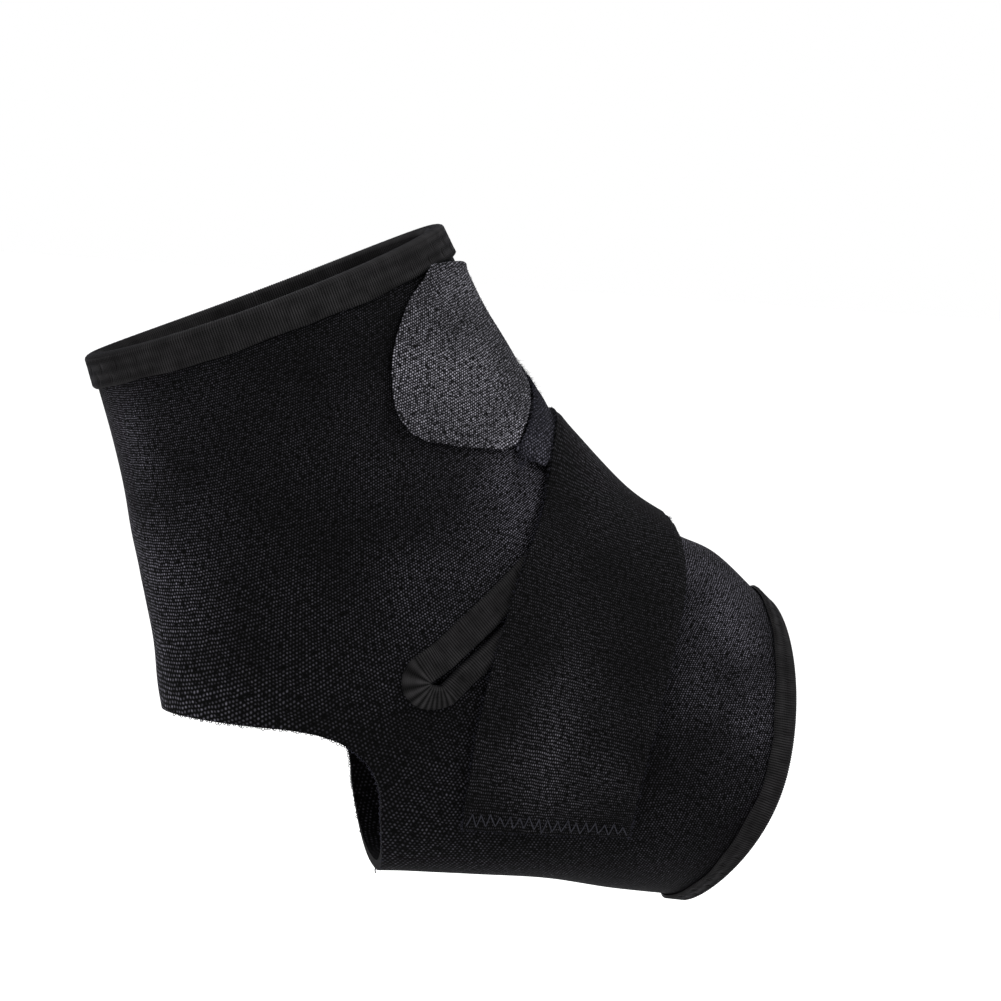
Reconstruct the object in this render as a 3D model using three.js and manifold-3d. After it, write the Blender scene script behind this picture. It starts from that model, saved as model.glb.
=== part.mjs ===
// Ankle brace of knit-faced neoprene, open at the heel and the toes, for a right foot.
// Millimetres. The origin is the middle of the ankle's hollow. +X points to the toes, +Z up the leg,
// -Y to the outer side of the foot. The sole is level.

import * as THREE from 'three';
import { mergeVertices } from 'three/addons/utils/BufferGeometryUtils.js';
import Module from 'manifold-3d';

const wasm = await Module();
wasm.setup();

// Reach of the sleeve's outer face from the origin
const LEG_RISE = 109.5; // up to the front of the top rim
const SOLE_DROP = 88.5; // down to the lowest point under the ball of the foot
const TOE_REACH = 125.5; // forward to the top of the rim at the toes
const HEEL_REACH = 85.4; // back to the back of the top rim
const CUFF_WIDTH = 86; // side to side, outside, at the top rim
const FOREFOOT_WIDTH = 94; // side to side, outside, at the rim at the toes

// Thickness of each material
const WALL = 3; // neoprene of the sleeve
const TAPE_THICK = 0.9; // ribbed binding tape
const STRAP_THICK = 2.5; // instep strap
const FLAP_THICK = 2.2; // front flap
const TAB_THICK = 1.4; // hook tape

// Clearance between pieces that lie on each other or side by side
const LAY_GAP = 0.5;
const CUFF_GAP = 0.65; // under what lies on the cuff
const SIDE_GAP = 0.8;

// How far each binding reaches from its edge over the sleeve
const TOP_TAPE_WIDTH = 8.5;
const TOE_TAPE_WIDTH = 5.5;
const SLIT_UPPER_TAPE_WIDTH = 8;
const SLIT_LOWER_TAPE_WIDTH = 4.8;

// Slit across the front of the ankle, as rows of the section table and degrees round the sleeve
const SLIT_ROW_FRONT = 6.6; // where it crosses the front
const SLIT_ROW_SIDE = 6.05; // where it ends on each side
const SLIT_END_DEGREES = 93.5;
const SLIT_WIDTH = 3; // opening between its lips under the strap

// Heel opening, seen from the side
const HEEL_TOP_DROP = 38.3; // its upper edge below the origin
const HEEL_TOP_REACH = -27; // where the upper edge starts to curve down
const HEEL_FRONT_REACH = 5; // its front edge, at the end of the curve
const HEEL_CURVE_DROP = 63; // the end of the curve below the origin
const HEEL_SOLE_REACH = 9.5; // its front edge under the sole

// Instep strap
const STRAP_WIDTH = 50;

// Hook tab and front flap, on the cuff
const TAB_TOP = 7; // top edge of the tab below the rim
const TAB_TOP_DROP = 11; // how much lower its top edge lies at the seam
const TAB_HEIGHT = 60; // down to its lower corner
const TAB_LENGTH = 58; // front of the ankle round to the tip of the tab
const FLAP_TOP = 12; // top edge of the flap below the rim
const FLAP_HEIGHT = 48.5; // down to its lower edge on the inner side
const FLAP_LENGTH = 95; // from the front round to its root on the inner side
const FLAP_TIP_LENGTH = 27; // from the front round to its tip on the outer side

// Fineness of the meshes
const SLEEVE_STATIONS = 26;
const SLEEVE_SIDES = 44;
const WALK_STEP = 3;
const SLOPE_STEP = 1e-4;

const DEGREE = Math.PI / 180;

// Sections of the sleeve from the top rim to the toes. Front and back are where the section meets the
// front and the back outline: forward and up as shares of TOE_REACH and LEG_RISE, backward and down as
// shares of HEEL_REACH and SOLE_DROP. Width is a share of the width between cuff and forefoot. Belly
// moves the widest place backward, round is the corner power at the front and the back, crest leans the
// front to the inner side and bow, a share of the half width, curves the sides down the brace.
const SECTION_COLUMNS = [
  'frontX', 'frontZ', 'backX', 'backZ', 'width', 'belly', 'frontRound', 'backRound', 'crest', 'bow',
];
const SECTIONS = [
  [0.120, 1.000, -1.000, 0.584, 0.98, 0.00, 2.1, 2.10, 0.00, 0.047],
  [0.218, 0.810, -0.902, 0.365, 0.96, 0.00, 2.1, 2.10, 0.00, 0.024],
  [0.296, 0.676, -0.815, 0.129, 0.93, 0.00, 2.1, 2.00, 0.00, 0.000],
  [0.367, 0.564, -0.749, -0.108, 0.91, 0.00, 2.0, 2.00, 0.00, 0.000],
  [0.427, 0.481, -0.685, -0.407, 0.90, 0.02, 2.0, 2.00, 0.02, 0.000],
  [0.486, 0.416, -0.585, -0.701, 0.90, 0.06, 2.0, 2.10, 0.05, 0.000],
  [0.538, 0.361, -0.351, -0.893, 0.90, 0.10, 2.0, 2.20, 0.08, 0.000],
  [0.594, 0.306, -0.023, -0.938, 0.90, 0.14, 2.0, 2.40, 0.12, 0.000],
  [0.645, 0.265, 0.135, -0.938, 0.91, 0.17, 2.0, 2.50, 0.15, 0.000],
  [0.705, 0.228, 0.295, -0.938, 0.94, 0.18, 2.0, 2.50, 0.17, 0.023],
  [0.774, 0.192, 0.470, -0.944, 0.97, 0.16, 2.0, 2.35, 0.18, 0.056],
  [0.871, 0.148, 0.641, -0.976, 0.99, 0.12, 2.0, 2.05, 0.18, 0.097],
  [1.000, 0.021, 0.829, -1.000, 1.00, 0.02, 2.1, 1.70, 0.16, 0.160],
];
const LAST_ROW = SECTIONS.length - 1;

// Opening of the slit in the sleeve: place from the front, 0, to the end, 1, and share of SLIT_WIDTH
const SLIT_COLUMNS = ['place', 'open'];
const SLIT_OPENING = [
  [0.00, 1.00],
  [0.45, 1.00],
  [0.62, 1.20],
  [0.82, 1.53],
  [1.00, 1.27],
];

// Middle line of the instep strap from its outer end to its inner end: row of the section table,
// degrees round from the front and width as a share of STRAP_WIDTH
const STRAP_COLUMNS = ['row', 'degrees', 'width'];
const STRAP_ROUTE = [
  [9.30, 127, 0.98],
  [8.92, 108, 1.00],
  [8.62, 92, 1.02],
  [8.10, 66, 1.02],
  [7.42, 40, 1.02],
  [6.62, 20, 1.04],
  [6.25, 0, 1.06],
  [6.62, -20, 1.04],
  [7.42, -40, 1.02],
  [8.10, -66, 1.02],
  [8.62, -92, 1.02],
  [8.92, -108, 1.00],
  [9.30, -127, 0.98],
];

// Outline of the hook tab: place down as a share of TAB_HEIGHT, then its seam and its free edge round
// from the front as shares of TAB_LENGTH, the outer side positive
const TAB_COLUMNS = ['down', 'seam', 'free'];
const TAB_OUTLINE = [
  [0.00, -0.27, 0.53],
  [0.08, -0.26, 0.69],
  [0.15, -0.25, 0.78],
  [0.22, -0.23, 0.85],
  [0.30, -0.21, 0.91],
  [0.38, -0.18, 0.95],
  [0.47, -0.14, 0.98],
  [0.56, -0.09, 1.00],
  [0.63, -0.04, 0.995],
  [0.70, 0.01, 0.97],
  [0.77, 0.08, 0.91],
  [0.86, 0.23, 0.77],
  [0.93, 0.35, 0.64],
  [0.99, 0.46, 0.53],
];

// Lower edge of the front flap: place round from the front, as a share of FLAP_LENGTH to the inner side
// and of FLAP_TIP_LENGTH to the outer side, and place down as a share of FLAP_HEIGHT
const FLAP_COLUMNS = ['round', 'lower'];
const FLAP_OUTLINE = [
  [-1.00, 0.97],
  [-0.50, 1.00],
  [-0.10, 1.00],
  [0.10, 1.04],
  [0.40, 1.30],
  [0.78, 1.36],
  [1.00, 1.20],
];

// Interpolates a column of a table with even rows, at a place from 0 to its last row
function blendRows(table, columnIndex, place) {
  const last = table.length - 1;
  const row = Math.min(Math.max(Math.floor(place), 0), last - 1);
  const share = place - row;
  const value = (index) => {
    if (index < 0) return 2 * table[0][columnIndex] - table[1][columnIndex];
    if (index > last) return 2 * table[last][columnIndex] - table[last - 1][columnIndex];
    return table[index][columnIndex];
  };
  const [before, start, end, after] = [value(row - 1), value(row), value(row + 1), value(row + 2)];
  const bend = 2 * before - 5 * start + 4 * end - after;
  const twist = 3 * start - before - 3 * end + after;
  return 0.5 * (2 * start + (end - before) * share + bend * share ** 2 + twist * share ** 3);
}

// Looks up a column by another column, on straight lines between the rows
function lookUp(table, columns, keyName, valueName, key) {
  const keyIndex = columns.indexOf(keyName);
  const valueIndex = columns.indexOf(valueName);
  let row = 0;
  while (row < table.length - 2 && key > table[row + 1][keyIndex]) row += 1;
  const [from, to] = [table[row], table[row + 1]];
  const share = THREE.MathUtils.clamp((key - from[keyIndex]) / (to[keyIndex] - from[keyIndex]), 0, 1);
  return THREE.MathUtils.lerp(from[valueIndex], to[valueIndex], share);
}

// Outer face of the sleeve, at a place from 0, the top rim, to 1, the rim at the toes, and an angle round
// it from the front by the outer side
function facePoint(place, angle) {
  const row = (name) => blendRows(SECTIONS, SECTION_COLUMNS.indexOf(name), place * LAST_ROW);
  const reach = (share) => share * (share > 0 ? TOE_REACH : HEEL_REACH);
  const rise = (share) => share * (share > 0 ? LEG_RISE : SOLE_DROP);
  const front = new THREE.Vector3(reach(row('frontX')), 0, rise(row('frontZ')));
  const back = new THREE.Vector3(reach(row('backX')), 0, rise(row('backZ')));
  const frontness = (1 + Math.cos(angle)) / 2;
  const power = THREE.MathUtils.lerp(row('backRound'), row('frontRound'), frontness);
  const radius = (Math.abs(Math.cos(angle)) ** power + Math.abs(Math.sin(angle)) ** power) ** (-1 / power);
  const along = radius * Math.cos(angle);
  const across = radius * Math.sin(angle);
  const halfWidth = row('width') * THREE.MathUtils.lerp(CUFF_WIDTH, FOREFOOT_WIDTH, place) / 2;
  const axis = front.clone().sub(back).multiplyScalar(0.5);
  const downBrace = new THREE.Vector3(axis.z, 0, -axis.x).normalize();
  const point = front.clone().add(back).multiplyScalar(0.5);
  point.addScaledVector(axis, along);
  point.addScaledVector(downBrace, halfWidth * row('bow') * across ** 2);
  point.y = halfWidth * (row('crest') * (1 + along) / 2 - across * (1 - row('belly') * along));
  return point;
}

// Directions down the brace and round it, per unit of place and angle, and the outward normal
function faceSlopes(place, angle) {
  const slope = (placeStep, angleStep) => facePoint(place + placeStep, angle + angleStep)
    .sub(facePoint(place - placeStep, angle - angleStep))
    .divideScalar(2 * SLOPE_STEP);
  const down = slope(SLOPE_STEP, 0);
  const round = slope(0, SLOPE_STEP);
  return { down, round, normal: round.clone().cross(down).normalize() };
}

function liftedPoint(spot, lift) {
  return facePoint(spot.place, spot.angle).addScaledVector(faceSlopes(spot.place, spot.angle).normal, lift);
}

// Walks straight over the outer face, as a flat piece of cloth laid on it does
function walk(spot, heading, distance) {
  const steps = Math.max(1, Math.ceil(Math.abs(distance) / WALK_STEP));
  const step = distance / steps;
  const direction = heading.clone();
  let { place, angle } = spot;
  for (let index = 0; index < steps; index += 1) {
    const { down, round } = faceSlopes(place, angle);
    const [downSquare, roundSquare, mixed] = [down.dot(down), round.dot(round), down.dot(round)];
    const [onDown, onRound] = [direction.dot(down) * step, direction.dot(round) * step];
    const area = downSquare * roundSquare - mixed ** 2;
    place += (onDown * roundSquare - onRound * mixed) / area;
    angle += (onRound * downSquare - onDown * mixed) / area;
    const { normal } = faceSlopes(place, angle);
    direction.addScaledVector(normal, -direction.dot(normal)).normalize();
  }
  return { place, angle };
}

function meshFrom(points, faces) {
  const geometry = new THREE.BufferGeometry();
  geometry.setAttribute('position', new THREE.Float32BufferAttribute(points.flatMap((p) => p.toArray()), 3));
  geometry.setIndex(faces.flat());
  return geometry;
}

// Slab between an outer and an inner grid of points, outer[row][column], whose rows close on themselves
// where wraps is true
function slab(outer, inner, wraps) {
  const rows = outer.length;
  const columns = outer[0].length;
  const points = [...outer.flat(), ...inner.flat()];
  const outerAt = (row, column) => row * columns + (column % columns);
  const innerAt = (row, column) => rows * columns + outerAt(row, column);
  const faces = [];
  const quad = (a, b, c, d) => faces.push([a, b, c], [a, c, d]);
  const lastColumn = wraps ? columns : columns - 1;
  for (let row = 0; row < rows - 1; row += 1) {
    for (let column = 0; column < lastColumn; column += 1) {
      const [r, c] = [row + 1, column + 1];
      quad(outerAt(row, column), outerAt(r, column), outerAt(r, c), outerAt(row, c));
      quad(innerAt(row, column), innerAt(row, c), innerAt(r, c), innerAt(r, column));
    }
  }
  for (let column = 0; column < lastColumn; column += 1) {
    const next = column + 1;
    quad(outerAt(0, column), outerAt(0, next), innerAt(0, next), innerAt(0, column));
    quad(outerAt(rows - 1, column), innerAt(rows - 1, column), innerAt(rows - 1, next), outerAt(rows - 1, next));
  }
  if (!wraps) {
    for (let row = 0; row < rows - 1; row += 1) {
      quad(outerAt(row, 0), innerAt(row, 0), innerAt(row + 1, 0), outerAt(row + 1, 0));
      quad(
        outerAt(row, lastColumn), outerAt(row + 1, lastColumn),
        innerAt(row + 1, lastColumn), innerAt(row, lastColumn),
      );
    }
  }
  return meshFrom(points, faces);
}

// Ring of sections, each a closed list of points, that closes on itself
function ring(sections) {
  const count = sections[0].length;
  const at = (section, point) => (section % sections.length) * count + (point % count);
  const faces = [];
  sections.forEach((section, index) => {
    section.forEach((unused, point) => {
      const [a, b] = [at(index, point), at(index + 1, point)];
      const [c, d] = [at(index + 1, point + 1), at(index, point + 1)];
      faces.push([a, b, c], [a, c, d]);
    });
  });
  return meshFrom(sections.flat(), faces);
}

// Turns a closed mesh into a solid, with its faces outward
function solidOf(geometry) {
  const merged = mergeVertices(geometry);
  const positions = new Float32Array(merged.attributes.position.array);
  const corners = new Uint32Array(merged.index.array);
  if (signedVolume(positions, corners) < 0) {
    for (let face = 0; face < corners.length; face += 3) {
      [corners[face], corners[face + 1]] = [corners[face + 1], corners[face]];
    }
  }
  return new wasm.Manifold(new wasm.Mesh({ numProp: 3, vertProperties: positions, triVerts: corners }));
}

function signedVolume(positions, corners) {
  const [a, b, c] = [new THREE.Vector3(), new THREE.Vector3(), new THREE.Vector3()];
  let volume = 0;
  for (let face = 0; face < corners.length; face += 3) {
    a.fromArray(positions, corners[face] * 3);
    b.fromArray(positions, corners[face + 1] * 3);
    c.fromArray(positions, corners[face + 2] * 3);
    volume += a.dot(b.cross(c)) / 6;
  }
  return volume;
}

function geometryOf(solid) {
  const mesh = solid.getMesh();
  const geometry = new THREE.BufferGeometry();
  geometry.setAttribute('position', new THREE.BufferAttribute(new Float32Array(mesh.vertProperties), 3));
  geometry.setIndex(new THREE.BufferAttribute(new Uint32Array(mesh.triVerts), 1));
  geometry.computeVertexNormals();
  return geometry;
}

// Middle line of the slit
function slitPlace(angle) {
  const share = (angle / (SLIT_END_DEGREES * DEGREE)) ** 2;
  return THREE.MathUtils.lerp(SLIT_ROW_FRONT, SLIT_ROW_SIDE, share) / LAST_ROW;
}

function halfOpening(place) {
  return SLIT_WIDTH / 2 * lookUp(SLIT_OPENING, SLIT_COLUMNS, 'place', 'open', place);
}

// Angles at even steps of length along the slit, with rounded ends, the half opening at each and how far
// its lips have turned to meet at the end, from 1 on the straight to 0 at the tip
function slitStations() {
  const samples = 400;
  const endAngle = SLIT_END_DEGREES * DEGREE;
  const angles = Array.from({ length: samples + 1 }, (unused, index) => endAngle * index / samples);
  const points = angles.map((angle) => facePoint(slitPlace(angle), angle));
  const lengths = [0];
  for (let index = 1; index <= samples; index += 1) {
    lengths.push(lengths[index - 1] + points[index].distanceTo(points[index - 1]));
  }
  const angleAt = (length) => {
    const index = Math.max(1, lengths.findIndex((value) => value >= length));
    const share = (length - lengths[index - 1]) / (lengths[index] - lengths[index - 1]);
    return THREE.MathUtils.lerp(angles[index - 1], angles[index], share);
  };
  const total = lengths[samples];
  const endRadius = halfOpening(1);
  const straight = total - endRadius;
  const steps = 15;
  const stations = [];
  for (let index = 0; index <= steps; index += 1) {
    const length = straight * index / steps;
    stations.push({ angle: angleAt(length), half: halfOpening(index / steps), turn: 1 });
  }
  for (const degrees of [30, 60, 90]) {
    const length = straight + endRadius * Math.sin(degrees * DEGREE);
    const turn = Math.cos(degrees * DEGREE);
    stations.push({ angle: angleAt(Math.min(length, total)), half: endRadius * turn, turn });
  }
  const innerSide = stations.slice(1).reverse().map((station) => ({ ...station, angle: -station.angle }));
  return [...innerSide, ...stations];
}

// Spot beside the slit's middle line, so many millimetres down the brace
function besideSlit(angle, offset) {
  const place = slitPlace(angle);
  return { place: place + offset / faceSlopes(place, angle).down.length(), angle };
}

function slitCutter() {
  const leastHalf = 0.05;
  const margin = 1.5;
  const layer = (lift) => slitStations().map(({ angle, half }) => {
    const open = Math.max(half, leastHalf);
    return [liftedPoint(besideSlit(angle, -open), lift), liftedPoint(besideSlit(angle, open), lift)];
  });
  return solidOf(slab(layer(margin), layer(-WALL - margin), false));
}

function heelCutter() {
  const beyond = 20;
  const outline = new THREE.Shape();
  outline.moveTo(-HEEL_REACH - beyond, -HEEL_TOP_DROP);
  outline.lineTo(HEEL_TOP_REACH, -HEEL_TOP_DROP);
  outline.quadraticCurveTo(HEEL_FRONT_REACH, -HEEL_TOP_DROP, HEEL_FRONT_REACH, -HEEL_CURVE_DROP);
  outline.lineTo(HEEL_SOLE_REACH, -SOLE_DROP);
  outline.lineTo(HEEL_SOLE_REACH, -SOLE_DROP - beyond);
  outline.lineTo(-HEEL_REACH - beyond, -SOLE_DROP - beyond);
  outline.closePath();
  const depth = 2 * FOREFOOT_WIDTH;
  const geometry = new THREE.ExtrudeGeometry(outline, { depth, bevelEnabled: false, curveSegments: 8 });
  geometry.deleteAttribute('normal');
  geometry.deleteAttribute('uv');
  geometry.rotateX(Math.PI / 2);
  geometry.translate(0, depth / 2, 0);
  return solidOf(geometry);
}

function sleeveAngles() {
  return Array.from({ length: SLEEVE_SIDES }, (unused, side) => 2 * Math.PI * side / SLEEVE_SIDES);
}

function sleeve() {
  const layer = (lift) => Array.from({ length: SLEEVE_STATIONS + 1 }, (unused, station) => (
    sleeveAngles().map((angle) => liftedPoint({ place: station / SLEEVE_STATIONS, angle }, lift))
  ));
  const body = solidOf(slab(layer(0), layer(-WALL), true));
  return geometryOf(body.subtract(heelCutter()).subtract(slitCutter()));
}

// Tape folded over an edge of the sleeve. The edge is a closed list of spots, and inward tells for each
// spot the direction from the edge into the sleeve, and widths how far the tape reaches there
function foldedTape(edge, inward, widths) {
  const inner = LAY_GAP;
  const outer = LAY_GAP + TAPE_THICK;
  const middle = -WALL / 2;
  const foldRadius = WALL / 2 + outer;
  const fold = [50, 0, -50].map((degrees) => [
    -outer * Math.cos(degrees * DEGREE), middle + foldRadius * Math.sin(degrees * DEGREE),
  ]);
  const profile = (width) => [
    [width, inner], [width, outer], [0, outer],
    ...fold,
    [0, -WALL - outer], [width, -WALL - outer],
    [width, -WALL - inner], [-inner, -WALL - inner], [-inner, inner],
  ];
  const sections = edge.map((spot, index) => {
    const { normal } = faceSlopes(spot.place, spot.angle);
    const heading = inward[index];
    return profile(widths[index]).map(([distance, lift]) => {
      if (distance > 0) return liftedPoint(walk(spot, heading, distance), lift);
      return facePoint(spot.place, spot.angle).addScaledVector(heading, distance).addScaledVector(normal, lift);
    });
  });
  return geometryOf(solidOf(ring(sections)));
}

// Directions square to a closed edge and along the face, on the side that side picks, 1 or -1
function squareTo(edge, side) {
  const points = edge.map((spot) => facePoint(spot.place, spot.angle));
  return edge.map((spot, index) => {
    const before = points[(index + points.length - 1) % points.length];
    const after = points[(index + 1) % points.length];
    const { normal } = faceSlopes(spot.place, spot.angle);
    return after.clone().sub(before).cross(normal).normalize().multiplyScalar(side);
  });
}

function rimTape(place, side, width) {
  const edge = sleeveAngles().map((angle) => ({ place, angle }));
  return foldedTape(edge, squareTo(edge, side), edge.map(() => width));
}

function slitTape() {
  const stations = slitStations();
  const lip = (list, side) => list.map(({ angle, half, turn }) => ({
    spot: besideSlit(angle, side * half),
    width: THREE.MathUtils.lerp(SLIT_UPPER_TAPE_WIDTH, SLIT_LOWER_TAPE_WIDTH, (1 + side * turn) / 2),
  }));
  const loop = [...lip(stations, -1), ...lip(stations.slice(1, -1).reverse(), 1)];
  const edge = loop.map(({ spot }) => spot);
  return foldedTape(edge, squareTo(edge, 1), loop.map(({ width }) => width));
}

// Spots across the instep strap at each station along it
function strapSpots() {
  const stations = 38;
  const acrossCount = 7;
  const column = (name, place) => blendRows(STRAP_ROUTE, STRAP_COLUMNS.indexOf(name), place);
  const last = STRAP_ROUTE.length - 1;
  const middleAt = (place) => ({
    place: column('row', place) / LAST_ROW,
    angle: column('degrees', place) * DEGREE,
  });
  return Array.from({ length: stations + 1 }, (unused, station) => {
    const place = last * station / stations;
    const spot = middleAt(place);
    const [before, after] = [middleAt(place - SLOPE_STEP), middleAt(place + SLOPE_STEP)];
    const { normal } = faceSlopes(spot.place, spot.angle);
    const along = facePoint(after.place, after.angle).sub(facePoint(before.place, before.angle));
    const heading = along.cross(normal).normalize();
    const width = STRAP_WIDTH * column('width', place);
    return Array.from({ length: acrossCount + 1 }, (alsoUnused, index) => (
      walk(spot, heading, width * (index / acrossCount - 0.5))
    ));
  });
}

// The strap lies on the sleeve at its sewn ends and on the slit's binding between them
function strapLift(share) {
  const sewnShare = 0.1;
  const blendShare = 0.22;
  const toEnd = Math.min(share, 1 - share);
  const raise = THREE.MathUtils.smoothstep(toEnd, sewnShare, blendShare);
  return LAY_GAP + raise * (TAPE_THICK + LAY_GAP);
}

function instepStrap() {
  const spots = strapSpots();
  const layer = (thick) => spots.map((row, index) => (
    row.map((spot) => liftedPoint(spot, strapLift(index / (spots.length - 1)) + thick))
  ));
  return geometryOf(solidOf(slab(layer(STRAP_THICK), layer(0), false)));
}

// Spot on the cuff, so far round from the front by the outer side and so far down from the rim
function cuffSpot(round, down) {
  const steps = 24;
  let angle = 0;
  for (let index = 0; index < steps; index += 1) {
    angle += round / steps / faceSlopes(0, angle).round.length();
  }
  const start = { place: 0, angle };
  const { normal, round: rimDirection } = faceSlopes(start.place, start.angle);
  return walk(start, normal.clone().cross(rimDirection).normalize(), down);
}

// What lies on the cuff steps over the top binding
function cuffLift(down) {
  const clearOfTape = TOP_TAPE_WIDTH + 1.5;
  const laidDown = TOP_TAPE_WIDTH + 7;
  const raise = 1 - THREE.MathUtils.smoothstep(down, clearOfTape, laidDown);
  return CUFF_GAP + raise * (TAPE_THICK + LAY_GAP);
}

function cuffPiece(rows, thick) {
  const layer = (extra) => rows.map((row) => row.map(({ round, down }) => (
    liftedPoint(cuffSpot(round, down), cuffLift(down) + extra)
  )));
  return geometryOf(solidOf(slab(layer(thick), layer(0), false)));
}

// Place on the tab, so far down it as a share and from its free edge, 0, across to its seam, 1
function tabPlace(share, across) {
  const seam = lookUp(TAB_OUTLINE, TAB_COLUMNS, 'down', 'seam', share);
  const free = lookUp(TAB_OUTLINE, TAB_COLUMNS, 'down', 'free', share);
  return {
    round: TAB_LENGTH * THREE.MathUtils.lerp(free, seam, across),
    down: TAB_TOP + TAB_HEIGHT * share + TAB_TOP_DROP * (1 - share) ** 3 * across,
  };
}

function tabShares() {
  return TAB_OUTLINE.map((row) => row[TAB_COLUMNS.indexOf('down')]);
}

function hookTab() {
  const acrossCount = 14;
  const rows = tabShares().map((share) => (
    Array.from({ length: acrossCount + 1 }, (unused, index) => tabPlace(share, index / acrossCount))
  ));
  return cuffPiece(rows, TAB_THICK);
}

// Edge of the instep strap that faces the cuff, from the inner to the outer side
function strapUpperEdge() {
  const spots = strapSpots();
  const last = spots[0].length - 1;
  const middle = spots[Math.floor(spots.length / 2)];
  const column = middle[0].place < middle[last].place ? 0 : last;
  return spots.map((row) => row[column]).sort((one, other) => one.angle - other.angle);
}

// How far down from the rim the instep strap starts, so far round from the front
function downToStrap(round) {
  const edge = strapUpperEdge();
  const table = edge.map((spot) => [spot.angle, spot.place]);
  let [above, below] = [0, 2 * TAB_HEIGHT];
  for (let halving = 0; halving < 16; halving += 1) {
    const down = (above + below) / 2;
    const spot = cuffSpot(round, down);
    const clear = spot.place < lookUp(table, ['angle', 'place'], 'angle', 'place', spot.angle);
    [above, below] = clear ? [down, below] : [above, down];
  }
  return above;
}

// The flap's end follows the tab's seam, and its lower edge keeps clear of the instep strap
function frontFlap() {
  const acrossCount = 5;
  const tipShares = [1, 0.9, 0.78, 0.6, 0.4, 0.2, 0];
  const bodyShares = [0.05, 0.1, 0.14, 0.17, 0.23, 0.29, 0.35, 0.41, 0.48, 0.55, 0.62, 0.69, 0.77, 0.85, 0.92, 1];
  const shares = [...tipShares, ...bodyShares.map((share) => -share)];
  const seam = tabShares().map((share) => tabPlace(share, 1)).map(({ round, down }) => [round, down]);
  const rows = shares.map((share) => {
    const round = share * (share > 0 ? FLAP_TIP_LENGTH : FLAP_LENGTH);
    const besideTab = round + SIDE_GAP > seam[0][0];
    const seamDown = lookUp(seam, ['round', 'down'], 'round', 'down', round + SIDE_GAP);
    const upper = besideTab ? seamDown + SIDE_GAP : FLAP_TOP;
    const drawn = FLAP_TOP + FLAP_HEIGHT * lookUp(FLAP_OUTLINE, FLAP_COLUMNS, 'round', 'lower', share);
    const lower = Math.min(drawn, downToStrap(round) - SIDE_GAP);
    return Array.from({ length: acrossCount + 1 }, (unused, index) => ({
      round,
      down: THREE.MathUtils.lerp(upper, lower, index / acrossCount),
    }));
  });
  return cuffPiece(rows, FLAP_THICK);
}

const parts = new THREE.Group();

function addPart(name, geometry, colour, roughness) {
  const material = new THREE.MeshStandardMaterial({ color: colour, roughness, metalness: 0 });
  const mesh = new THREE.Mesh(geometry, material);
  mesh.name = name;
  parts.add(mesh);
}

addPart('sleeve', sleeve(), 0x17171b, 0.9);
addPart('top_binding', rimTape(0, -1, TOP_TAPE_WIDTH), 0x29282a, 0.8);
addPart('forefoot_binding', rimTape(1, 1, TOE_TAPE_WIDTH), 0x29282a, 0.8);
addPart('slit_binding', slitTape(), 0x29282a, 0.8);
addPart('instep_strap', instepStrap(), 0x1b1b20, 0.9);
addPart('front_flap', frontFlap(), 0x24252c, 0.95);
addPart('hook_tab', hookTab(), 0x4a4c50, 0.7);

export default parts;
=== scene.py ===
import math

import bpy
import numpy as np
from mathutils import Matrix, Vector


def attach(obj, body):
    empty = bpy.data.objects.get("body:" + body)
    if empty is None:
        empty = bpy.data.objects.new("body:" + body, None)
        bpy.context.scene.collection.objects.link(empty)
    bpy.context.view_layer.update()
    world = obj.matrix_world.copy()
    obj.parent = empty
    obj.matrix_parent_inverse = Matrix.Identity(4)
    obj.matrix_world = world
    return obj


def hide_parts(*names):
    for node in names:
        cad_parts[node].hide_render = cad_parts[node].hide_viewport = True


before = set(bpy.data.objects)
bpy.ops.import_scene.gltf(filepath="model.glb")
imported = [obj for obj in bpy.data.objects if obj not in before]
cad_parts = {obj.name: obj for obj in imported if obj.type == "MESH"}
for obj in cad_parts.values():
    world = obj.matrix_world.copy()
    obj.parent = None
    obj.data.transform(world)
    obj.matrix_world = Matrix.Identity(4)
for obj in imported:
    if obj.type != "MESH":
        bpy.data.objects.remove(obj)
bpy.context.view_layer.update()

# Ankle brace of knit-faced neoprene on no foot, in its worn form. Lengths are in millimetres here and
# become metres where a mesh gets its points.
MM = 0.001
DEGREE = math.pi / 180
SEED = 11

# Sizes of the brace, as in its solids
LEG_RISE = 109.5
SOLE_DROP = 88.5
TOE_REACH = 125.5
HEEL_REACH = 85.4
CUFF_WIDTH = 86
FOREFOOT_WIDTH = 94
WALL = 3
TAPE_THICK = 0.9
STRAP_THICK = 2.5
FLAP_THICK = 2.2
TAB_THICK = 1.4
LAY_GAP = 0.5
CUFF_GAP = 0.65
SIDE_GAP = 0.8
TOP_TAPE_WIDTH = 8.5
TOE_TAPE_WIDTH = 5.5
SLIT_UPPER_TAPE_WIDTH = 8
SLIT_LOWER_TAPE_WIDTH = 4.8
SLIT_ROW_FRONT = 6.6
SLIT_ROW_SIDE = 6.05
SLIT_END_DEGREES = 93.5
SLIT_WIDTH = 3
HEEL_TOP_DROP = 38.3
HEEL_TOP_REACH = -27
HEEL_FRONT_REACH = 5
HEEL_CURVE_DROP = 63
HEEL_SOLE_REACH = 9.5
STRAP_WIDTH = 50
STRAP_STATIONS = 24
TAB_TOP = 7
TAB_TOP_DROP = 11
TAB_HEIGHT = 60
TAB_LENGTH = 58
FLAP_TOP = 12
FLAP_HEIGHT = 48.5
FLAP_LENGTH = 95
FLAP_TIP_LENGTH = 27

# Real repeats of the cloths
TAPE_RIB = 0.75
KNIT_PITCH = 0.75
STRAP_RIB = 0.85
STRAP_WALE = 0.62
PILE_PITCH = 0.9
TAB_PITCH = 1.5
STITCH_PITCH = 8.2

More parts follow.
